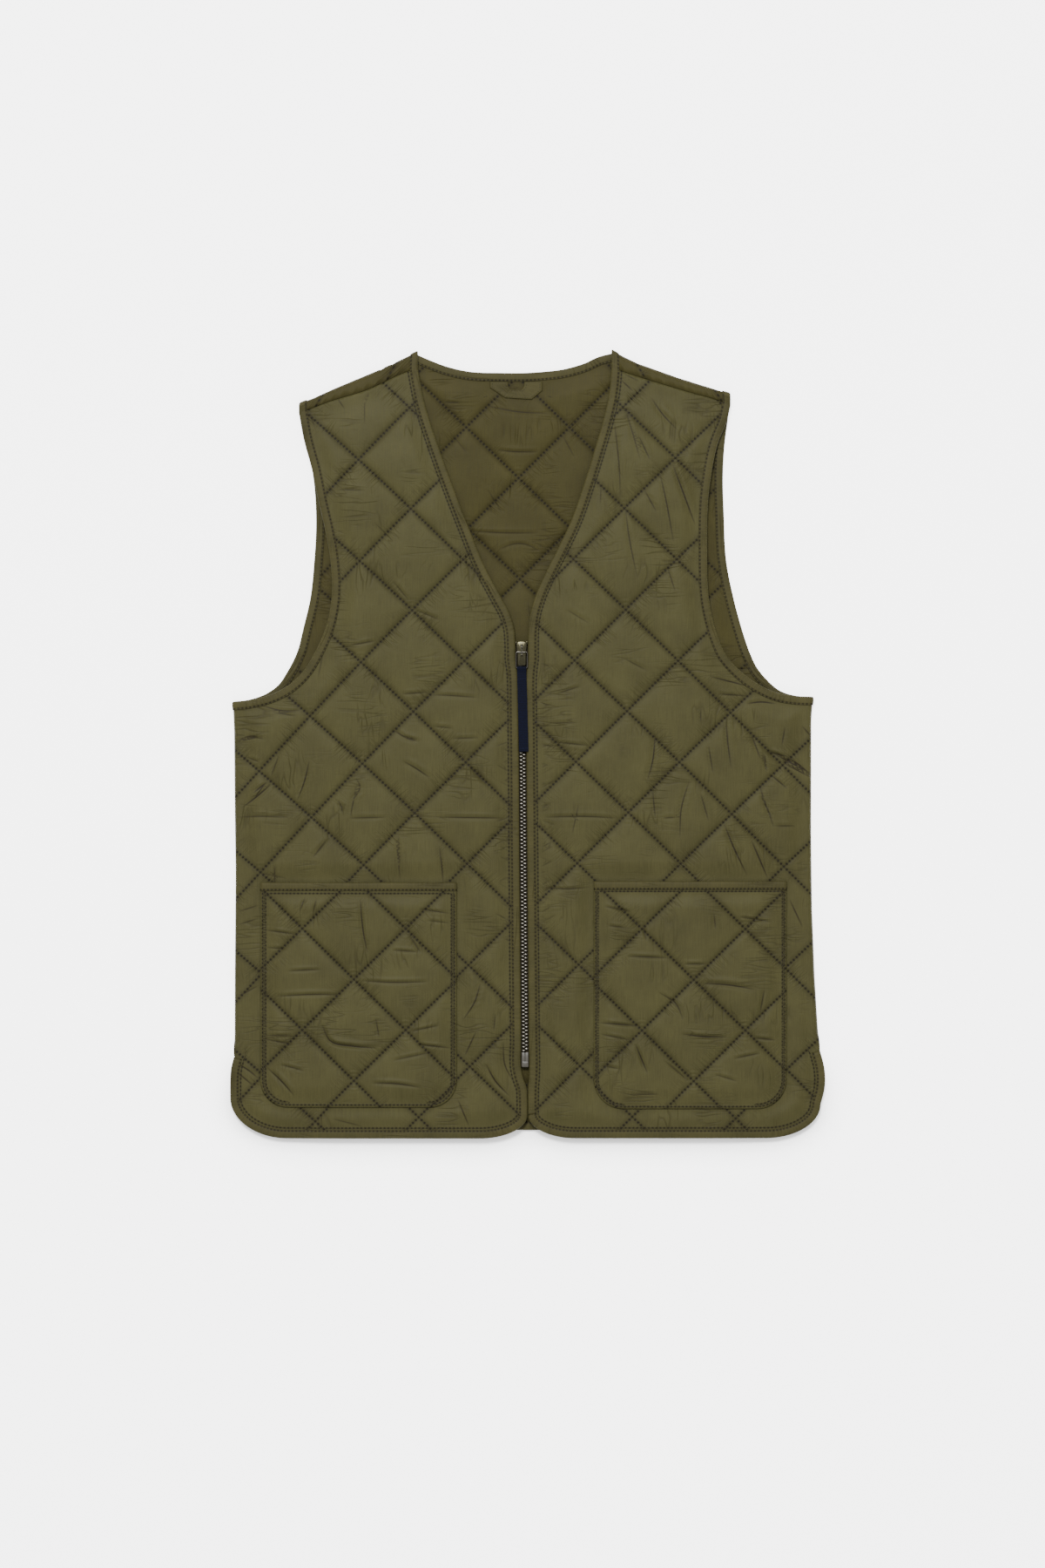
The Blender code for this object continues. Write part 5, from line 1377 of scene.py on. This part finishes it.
def back_skins():
    """The back's inner face with its puffs, and its resting face, flat between shallow seams."""
    quilt, loop, hanger = QUILTS["back"], back_outline(), np.array(LOOP_OUTER + LOOP_INNER[::-1])

    def from_folds(points):
        return np.minimum(-past_sides(points), shoulder_fold(points[:, 0]) - points[:, 1])

    def inner(points):
        fade = edge_fade(points, loop) * ease((from_folds(points) - 4) / FADE) * clear_of(points, hanger)
        relief = PUFF * quilt_relief(points, quilt) + puckers(points, quilt)
        loose = crease_relief(points, CREASES_BACK) + 0.12 * swells(points, 5)
        return -WALL / 2 - fade * relief - loose * (0.1 + 0.9 * fade)

    def resting(points):
        clear = ease(np.minimum((distance_to(points, loop[::3]) - 8) / 6, from_folds(points) / 6))
        away = np.minimum(*(from_seam(share) for share in quilt_fractions(points, quilt)))
        seam = 0.75 * np.exp(-away / 1.8) * clear
        return WALL / 2 + (BACK_MIDDLE - WALL / 2) * clear - seam * ease((from_folds(points) - 6) / 8)

    return loop, quilt, inner, resting


def build_back():
    """The back, with stitches where it shows inside the neck and underneath, and two sewn brackets at the loop."""
    loop, quilt, inner, resting = back_skins()
    cloth = panel(
        "back_cloth", loop, quilt, NET["back"], lay_back, inner, resting, SHADED_SHELL,
        creases=CREASES_BACK, closer=NECK_NET,
    )

    def in_neck(points):
        wide = np.interp(points[:, 1], [60, 90, 200, 330], [12, 20, 60, 110])
        return (np.abs(points[:, 0] + 6) < wide) & (points[:, 1] > 60)

    def flat_part(points):
        return (shoulder_fold(points[:, 0]) - points[:, 1] > 4) & (past_sides(points) < -NEAR_ROLL)

    parts = quilt_stitches(
        loop, quilt, BINDING_WIDTH, lambda p: in_neck(p) & flat_part(p), lambda p: inner(p) - 0.02, lay_back
    )
    parts += quilt_stitches(loop, quilt, BINDING_WIDTH + 6, flat_part, lambda p: resting(p) + 0.05, lay_back)
    for x, turn in ((-38.5, 3.0), (20.8, -3.0)):
        line = np.array([(x + turn, 306.6), (x, 306.2), (x, 294.6), (x + turn, 294.2)])
        parts.append(stitch_row(line, 2.2, inner(line) - 0.05, (1.9, 0.6), lay_back))
    thread = make_piece("back_stitches", *joined(parts), THREAD)
    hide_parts("back")
    ride_vest(cloth, thread)
    return cloth, thread


def bound_strip(name, sections, maps, closed, stands_for):
    strip = loft(name, sections, maps, closed, BINDING)
    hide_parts(stands_for)
    ride_vest(strip)
    return strip


def build_pocket(side):
    """A patch pocket, its turned-in edge rounded and sewn, and the binding along its mouth."""
    name = f"pocket_{side}"
    quilt, loop, place = QUILTS[name], pocket_outline(side, 0, EDGE_INSET), lay_pocket(side)
    left, right, top = POCKETS[side][:3]
    below_mouth = top - BINDING_WIDTH - 1

    def skin(points):
        away = distance_to(points, loop[::2])
        fade = ease((away - 3) / FADE) * ease((top - points[:, 1] - PRESSED) / FADE)
        relief = PUFF * quilt_relief(points, quilt) + puckers(points, quilt)
        loose = crease_relief(points, POCKET_CREASES[side]) + 0.14 * swells(points, 8 + SIDE_SIGN[side])
        hem = 0.5 * (1 - ease(away / 1.6)) + 0.22 * np.exp(-(((away - 3.4) / 0.9) ** 2))
        free = fade * (relief + (1 - EDGE_LOOSE) * loose)
        return WALL / 2 + free + EDGE_LOOSE * loose - hem * (top - points[:, 1] > 6)

    edges = []
    for inset in POCKET_SEAMS[side]:
        edge = pocket_outline(side, -inset, EDGE_INSET + 4)
        edge = edge[edge[:, 1] < below_mouth]
        turn = int(np.hypot(*(edge - np.roll(edge, 1, 0)).T).argmax())
        edges.append(np.roll(edge, -turn, 0))
    cloth = panel(
        f"{name}_cloth", loop, quilt, NET["pocket"], place, skin, plain_face, SHELL, edges, POCKET_CREASES[side]
    )
    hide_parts(name)
    parts = quilt_stitches(loop, quilt, 3.5, lambda p: p[:, 1] < below_mouth, lambda p: skin(p) + 0.06, place)
    for edge in edges:
        parts.append(stitch_row(edge, SEW_PITCH, skin(edge) + 0.04, EDGE_STITCH, place))
    mouth = smooth([(right, top), (left, top)], STEP)
    sections, maps = strip_sections((mouth, inward(mouth, True)), place, binding_profile(), RIPPLE)
    strip = bound_strip(f"{name}_mouth", sections, maps, False, f"pocket_binding_{side}")
    line = mouth[2:-2] + np.array([0, -BINDING_WIDTH + SEW_DEPTH])
    parts.append(stitch_row(line, SEW_PITCH, BINDING_HALF - SEW_SINK, EDGE_STITCH, place))
    thread = make_piece(f"{name}_stitches", *joined(parts), THREAD)
    ride_vest(cloth, thread)
    return cloth, strip, thread


def binding_stitches(path, place):
    """The row that holds a binding down, on its outer and its inner face."""
    edge, across = path
    line = (edge + across * (BINDING_WIDTH - SEW_DEPTH))[2:-2]
    return [stitch_row(line, SEW_PITCH, face * (BINDING_HALF - SEW_SINK), EDGE_STITCH, place) for face in (1, -1)]


RIPPLE = 0.10  # height of a binding's uneven ripple
ALONG = [0, 2]  # the columns of a strip's maps that measure along it


def run_on(before, maps):
    """The maps of a stretch that is walked backwards, running on from the end of the stretch before it."""
    maps = maps[::-1].copy()
    maps[..., ALONG] = before[-1, 0, ALONG] + maps[0, 0, ALONG] - maps[..., ALONG]
    return maps


def build_bindings():
    """The strip from vent to vent round the fronts and neck, the back's hem, and a ring round each armhole."""
    profile = binding_profile()
    lows = {side: even_across(front_lower_path(side)) for side in SIDES}
    neck_path, hem_path = even_across(back_neck_path(), 1), even_across(back_hem_path())
    left, left_map = strip_sections(lows["left"], lay_front("left"), profile, RIPPLE)
    neck, neck_map = strip_sections(neck_path, lay_back, profile, RIPPLE)
    right, right_map = strip_sections(lows["right"], lay_front("right"), profile, RIPPLE)
    neck_map[..., ALONG] += left_map[-1, 0, ALONG]
    sections = np.concatenate([left, neck[1:-1], right[::-1]])
    maps = np.concatenate([left_map, neck_map[1:-1], run_on(neck_map, right_map)])
    pieces = [bound_strip("front_and_neck_edge", sections, maps, False, "binding_front_neck")]
    sections, maps = strip_sections(hem_path, lay_back, profile)
    pieces.append(bound_strip("back_hem_edge", sections, maps, False, "binding_back_hem"))
    sewn = [(lows["left"], lay_front("left")), (lows["right"], lay_front("right"))]
    sewn += [(neck_path, lay_back), (hem_path, lay_back)]
    for side in SIDES:
        front_path, back_path = even_across(front_armhole_path(side)), even_across(back_armhole_path(side), 1)
        front, front_map = strip_sections(front_path, lay_front(side), profile, RIPPLE)
        back, back_map = strip_sections(back_path, lay_back, profile)
        sections = np.concatenate([front, back[::-1][1:-1]])
        maps = np.concatenate([front_map, run_on(front_map, back_map)[1:-1]])
        pieces.append(bound_strip(f"armhole_{side}_edge", sections, maps, True, f"armhole_binding_{side}"))
        sewn += [(front_path, lay_front(side)), (back_path, lay_back)]
    parts = [row for path, place in sewn for row in binding_stitches(path, place)]
    thread = make_piece("edge_stitches", *joined(parts), THREAD)
    ride_vest(thread)
    return pieces, thread


def build_hanger():
    """The flat folded strip sewn inside the back neck: a soft section carried from its outer to its inner edge."""
    share, corners = np.linspace(0, 1, 76), np.linspace(0, 1, len(LOOP_OUTER))
    outer, inner = sample(share, corners, LOOP_OUTER), sample(share, corners, LOOP_INNER)
    low = WALL / 2 + GAP
    profile = [(0.0, 0.5), (0.02, 0.86), (0.10, 1.0), (0.20, 0.9), (0.35, 1.0), (0.65, 1.0), (0.80, 0.9),
               (0.90, 1.0), (0.98, 0.86), (1.0, 0.5), (0.97, 0.06), (0.5, 0.0), (0.03, 0.06)]
    sections, maps = [], []
    for across, height in profile:
        flat = outer + (inner - outer) * across
        sections.append(lay_back(flat, np.full(len(flat), -low - LOOP_THICK * height)))
        maps.append(np.stack([share * 0.07, np.full(len(flat), across * 0.009)], 1))
    strip = bound_strip("hanger_strip", np.stack(sections, 1), np.stack(maps, 1), False, "hanger_loop")
    rows = []
    for across in (0.13, 0.87):
        line = (outer + (inner - outer) * across)[2:-2]
        rows.append(stitch_row(line, 2.3, -low - LOOP_THICK * 0.93, (1.7, -0.5), lay_back))
    thread = make_piece("hanger_stitches", *joined(rows), THREAD)
    ride_vest(thread)
    return strip, thread


# Zip


def zip_x(y):
    return ZIP_TOP_X + ZIP_LEAN * (y - ZIP_TOP)


def build_teeth():
    """Metal teeth of two rows that mesh: each a rounded bar clamped on its tape, with a domed head past the middle.

    One tooth's section in plan is a round-ended bar; rings of it shrink towards the upper and lower faces.
    """
    half_length, half_width, low, high = 1.72, 0.64, CHAIN_LOW, CHAIN_LOW + CHAIN_THICK
    angle = np.radians(np.arange(0, 360, 36))
    ends, sides = (np.sign(way) * np.abs(way) ** 0.5 for way in (np.cos(angle), np.sin(angle)))
    ring = np.stack([half_length * ends, half_width * sides], 1)
    rings = [(0.72, low), (1.0, low + 0.35), (1.0, high - 0.5), (0.70, high)]
    levels = [np.column_stack([ring * size, np.full(len(ring), z)]) for size, z in rings]
    tooth = np.concatenate(levels + [[(0, 0, low)], [(0, 0, high + 0.05)]])
    faces = capped_triangles(len(rings), len(ring))
    parts = []
    for sign, shift in ((-1, 0.0), (1, 0.5)):
        y = np.arange(ZIP_TOP - 1.5 - shift * TOOTH_PITCH, ZIP_BOTTOM + 0.8, -TOOTH_PITCH)
        centre = np.stack([zip_x(y) + sign * 1.27, y, np.zeros(len(y))], 1)
        parts.append(((centre[:, None] + tooth).reshape(-1, 3), copied(faces, len(tooth), len(y))))
    teeth = make_piece("zip_teeth", *joined(parts), TEETH)
    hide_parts("zip_chain")
    ride_vest(teeth)


def build_zip_tapes():
    """Each tape is a flat woven strip with soft edges, carried down the zip's line."""
    made = []
    y = np.linspace(ZIP_TOP, ZIP_BOTTOM - BOX_LENGTH, 80)
    half, width = TAPE_THICK / 2, TAPE_WIDTH
    profile = [(0, 0), (0.15, half * 0.8), (0.6, half), (1.6, half), (2.0, half * 0.9), (width - 0.6, half),
               (width - 0.1, half * 0.7), (width, 0), (width - 0.1, -half * 0.7), (width - 0.6, -half),
               (0.6, -half), (0.15, -half * 0.8)]
    for side, sign in SIDE_SIGN.items():
        sections, maps = [], []
        for across, out in profile:
            height = np.full(len(y), TAPE_TOP_Z - half + out)
            sections.append(np.stack([zip_x(y) + sign * (GAP + across), y, height], 1))
            maps.append(np.stack([np.full(len(y), across), y], 1) * MM)
        tape = loft(f"zip_tape_{side}_cloth", np.stack(sections, 1), np.stack(maps, 1), False, ZIP_TAPE)
        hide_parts(f"zip_tape_{side}")
        ride_vest(tape)
        made.append(tape)
    return made


def build_box():
    """The box that holds the zip's lower end, with a groove down its middle and a raised lip across."""
    top, low = ZIP_BOTTOM - GAP, CHAIN_LOW
    bottom, middle, half = top - BOX_LENGTH, zip_x(top - BOX_LENGTH / 2), BOX_WIDTH / 2
    parts = []
    for sign in (-1, 1):
        x0, x1 = sorted((middle + sign * 0.25, middle + sign * half))
        parts.append(slab(rectangle(x0, x1, bottom, top, 0.7), low, low + BOX_THICK - 0.3, 0.35))
    core = rectangle(middle - 0.8, middle + 0.8, bottom + 0.3, top - 0.3, 0.3)
    lip = rectangle(middle - half, middle + half, bottom, bottom + 5, 0.7)
    parts += [slab(core, low, low + BOX_THICK - 0.7, 0.1), slab(lip, low, low + BOX_THICK, 0.4)]
    box = make_piece("zip_box", *joined(parts), PLASTIC)
    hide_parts("zip_bottom_box")
    ride_vest(box)


def build_slider():
    """Two shield-shaped plates joined at the neck, with turned side flanges, top stops and the wire bail."""
    far, under, lid = SLIDER_LOW + SLIDER_LENGTH, TAPE_TOP_Z - TAPE_THICK - GAP, PLATE_TOP_Z - PLATE_THICK
    low_half, high_half = SLIDER_HALF_LOW, SLIDER_HALF_HIGH

    def shield(reach=0.0):
        right = [(low_half, SLIDER_LOW - reach), (low_half + 0.2, SLIDER_LOW + 5), (high_half, far - 3.6),
                 (high_half - 0.9, far - 0.6)]
        p = np.roll(np.array(right + [(0, far)] + [(-x, y) for x, y in right[::-1]]), 1, axis=0)
        p[:, 0] += zip_x(p[:, 1])
        return rounded_outline(p, 1.3)

    parts = [slab(shield(LID_REACH), lid, PLATE_TOP_Z, 0.4), slab(shield(), under - PLATE_THICK, under, 0.4)]
    neck = zip_x(far)
    post = [(neck - 1.5, far - 2.6), (neck + 1.5, far - 2.6), (neck + 1.1, far - 0.3), (neck - 1.1, far - 0.3)]
    parts.append(slab(rounded_outline(post, 0.6), under - 0.4, lid + 0.4, 0.1))
    for sign in (-1, 1):
        ends = [(sign * (low_half - 0.35), SLIDER_LOW + 0.9), (sign * (high_half - 0.35), far - 3.4)]
        (x0, y0), (x1, y1) = ((zip_x(y) + x, y) for x, y in ends)
        rail = [(x0 - 0.32, y0), (x0 + 0.32, y0), (x1 + 0.32, y1), (x1 - 0.32, y1)]
        parts.append(slab(rounded_outline(rail, 0.3), lid - 0.75, PLATE_TOP_Z - 0.5, 0.15))
    x = zip_x(PULL_AXIS_Y)
    for y in (BAIL_LOW, BAIL_HIGH):
        foot = rectangle(x - 1.1, x + 1.1, y - 1.0, y + 1.0, 0.5)
        parts.append(slab(foot, PLATE_TOP_Z - 0.3, PLATE_TOP_Z + 0.55, 0.25))
    body = make_piece("slider_body", *joined(parts), CAST)
    stops = []
    for sign in (-1, 1):
        outline = corner((zip_x(ZIP_TOP) + sign * 4.6, ZIP_TOP + 2.6), (1.0, 1.7), 0, 342, 20)
        stops.append(slab(outline, TAPE_TOP_Z - 0.9, TAPE_TOP_Z + 1.5, 0.5))
    top_stops = make_piece("zip_top_stops", *joined(stops), CAST)
    foot, rise, bend = PLATE_TOP_Z + GAP, BAIL_TOP_Z - 1.6, 1.6
    rows = [(BAIL_LOW, foot), (BAIL_LOW, rise)]
    rows += list(corner((BAIL_LOW + bend, rise), (bend, bend), 180, 90, 7))[1:]
    rows += list(corner((BAIL_HIGH - bend, rise), (bend, bend), 90, 0, 7)) + [(BAIL_HIGH, foot)]
    vertices, triangles = tube([(y, x, z) for y, z in rows], BAIL_WIRE, False)
    bail = make_piece("slider_bail_wire", vertices[:, [1, 0, 2]], triangles[:, ::-1], METAL)
    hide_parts("zip_slider")
    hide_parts("slider_bail")
    ride_vest(body, bail, top_stops)


def build_puller():
    """The wire ring under the bail, with rounded corners."""
    lower, x, bend = PULL_AXIS_Y - PULL_LENGTH, zip_x(PULL_AXIS_Y), 1.4
    across, upper_y, lower_y = PULL_HALF - bend, PULL_AXIS_Y - bend, lower + bend
    centres = [(across, upper_y), (-across, upper_y), (-across, lower_y), (across, lower_y)]
    ring = np.concatenate([corner(c, (bend, bend), 90 * k, 90 * k + 90, 8) for k, c in enumerate(centres)])
    ring = np.concatenate([ring, ring[:1]])
    along = distances(ring)
    ring = sample(np.linspace(0, along[-1], 90)[:-1], along, ring)
    path = np.column_stack([ring[:, 0] + x, ring[:, 1], np.full(len(ring), PULL_AXIS_Z)])
    puller = make_piece("puller_ring", *tube(path, PULL_WIRE, True, 14), SHADED_NICKEL)
    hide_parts("zip_puller")
    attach(puller, "pull_tab")


def build_pull_tape():
    """One narrow tape doubled round the ring's lower bar: a flat section carried along its path, out and back."""
    bar_y, layer, inner = PULL_AXIS_Y - PULL_LENGTH, PULL_TAPE_LAYER, PULL_WIRE + GAP
    low, bend = PULL_AXIS_Z - inner - layer, inner + layer / 2
    under = [(PULL_TAPE_END, low + layer / 2), (bar_y - 30, low + layer / 2), (bar_y - 3, low + layer / 2)]
    turn = [tuple(p) for p in corner((bar_y, PULL_AXIS_Z), (bend, bend), -80, 120, 12)]
    over = [(bar_y - 3.4, low + 2.2 * layer), (bar_y - 7.5, low + 1.55 * layer), (bar_y - 30, low + 1.52 * layer),
            (PULL_TAPE_END, low + 1.5 * layer)]
    path = smooth(under + turn + over, 0.7)
    aside, along = turned(unit(np.gradient(path, axis=0))), distances(path)
    middle = zip_x(PULL_AXIS_Y) + PULL_TAPE_LEAN * (path[:, 0] - bar_y)
    half, thick = PULL_TAPE_HALF, layer / 2 - 0.02
    wave = 0.05 * np.sin(along / 2.3) + 0.03 * np.sin(along / 5.1)
    profile = [(-1.0, 0.0), (-0.985, 0.6), (-0.93, 0.95), (-0.80, 0.85), (0.0, 1.0), (0.80, 0.85), (0.93, 0.95),
               (0.985, 0.6), (1.0, 0.0), (0.985, -0.6), (0.93, -0.95), (0.0, -1.0), (-0.93, -0.95), (-0.985, -0.6)]
    sections, maps = [], []
    for across, out in profile:
        flat = path + aside * out * thick
        sections.append(np.stack([middle + across * (half + wave), flat[:, 0], flat[:, 1]], 1))
        maps.append(np.stack([np.full(len(path), across * half), along], 1) * MM)
    tape = loft("pull_tape_cloth", np.stack(sections, 1), np.stack(maps, 1), False, PULL_TAPE)
    rows = []
    for y in (57.0, -4.4):
        centre = zip_x(PULL_AXIS_Y) + PULL_TAPE_LEAN * (y - bar_y)
        line = np.array([(centre - 3.5, y), (centre + 3.5, y)])
        rows.append(stitch_row(
            line, 1.4, low + 2 * layer + 0.05, (1.2, 0.4), lambda points, out: np.column_stack([points, out])
        ))
    thread = make_piece("pull_tape_stitches", *joined(rows), NAVY_THREAD)
    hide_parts("pull_tape")
    for piece in (tape, thread):
        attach(piece, "pull_tab")


# The camera and light


def build_floor():
    """A pale paper-white floor that glows evenly. Below the hem a soft shadow is painted into its glow, as light from
    the neck's side would leave.
    """
    material, tree, shader = material_base("paper_sweep_matt")
    spot = node(tree, "ShaderNodeTexCoord").outputs["Object"]
    grain = noise(tree, spot, 500.0, 2.0)
    plug(tree, shader.inputs["Base Color"], colour_mix(tree, grain, rgba("F6F6F6"), rgba("FAFAFA")))
    shader.inputs["Roughness"].default_value = 0.9
    shader.inputs["Emission Color"].default_value = (1.0, 1.0, 1.0, 1)
    _, floor_y, _ = node(tree, "ShaderNodeSeparateXYZ", {"Vector": spot}).outputs
    # Painted shadow: the glow is dimmed where the vest lies near, only towards the hem
    open_sky = node(tree, "ShaderNodeAmbientOcclusion", {"Distance": SHADOW_REACH}).outputs["AO"]
    shadow = calc(tree, "SUBTRACT", 1.0, calc(tree, "POWER", open_sky, 7.0))
    shadow = calc(tree, "MULTIPLY", shadow, ramp(tree, floor_y, *SHADOW_EDGES))
    plug(tree, shader.inputs["Emission Strength"], calc(tree, "MULTIPLY_ADD", shadow, -FLOOR_GLOW, FLOOR_GLOW))
    mesh = bpy.data.meshes.new("floor")
    corners = [(-1, -1), (1, -1), (1, 1), (-1, 1)]
    mesh.from_pydata([(x * FLOOR_HALF, y * FLOOR_HALF, FLOOR_LEVEL) for x, y in corners], [], [(0, 1, 2, 3)])
    mesh.materials.append(material)
    add_object("floor", mesh)


def build_camera_and_light():
    """The camera straight above, and soft light from overhead and the neck's side."""
    lens = bpy.data.cameras.new("camera")
    lens.lens, lens.sensor_width = CAMERA_LENS, CAMERA_SENSOR
    camera = add_object("camera", lens)
    camera.location = CAMERA_PLACE
    bpy.context.scene.camera = camera
    world = bpy.data.worlds.new("soft_room")
    world.use_nodes = True
    backdrop = world.node_tree.nodes["Background"]
    backdrop.inputs["Color"].default_value = (1.0, 1.0, 1.0, 1)
    backdrop.inputs["Strength"].default_value = WORLD_STRENGTH
    bpy.context.scene.world = world
    for name, place, (wide, high), power in LIGHTS:
        data = bpy.data.lights.new(name, "AREA")
        data.shape, data.size, data.size_y, data.energy = "RECTANGLE", wide, high, power
        light = add_object(name, data)
        light.location = place
        x, y, z = place
        light.rotation_euler = (math.atan2(math.hypot(x, y), z), 0, math.atan2(-y, -x) - math.pi / 2)


back, back_thread = build_back()
fronts = {side: build_front(side) for side in SIDES}
pockets = {side: build_pocket(side) for side in SIDES}
bindings, binding_thread = build_bindings()
hanger, hanger_thread = build_hanger()
build_teeth()
tapes = build_zip_tapes()
build_box()
build_slider()
build_puller()
build_pull_tape()
build_floor()
build_camera_and_light()

for side, width, length in (("left", 0.174, 0.199), ("right", 0.171, 0.201)):
    cloth, strip, thread = pockets[side]

for piece, slot in (
    [(back, "quilted_shell"), (hanger, "bias_binding")]
    + [(fronts[side][0], "quilted_shell") for side in fronts]
    + [(pockets[side][0], "quilted_shell") for side in pockets]
    + [(pockets[side][1], "bias_binding") for side in pockets]
    + [(strip, "bias_binding") for strip in bindings]
    + [(tape, "woven_tape") for tape in tapes]
    + [(bpy.data.objects["pull_tape_cloth"], "navy_tape"), (bpy.data.objects["zip_box"], "dark_plastic")]
    + [(bpy.data.objects[name], "nickel") for name in ("zip_teeth", "slider_body", "slider_bail_wire", "puller_ring")]
):
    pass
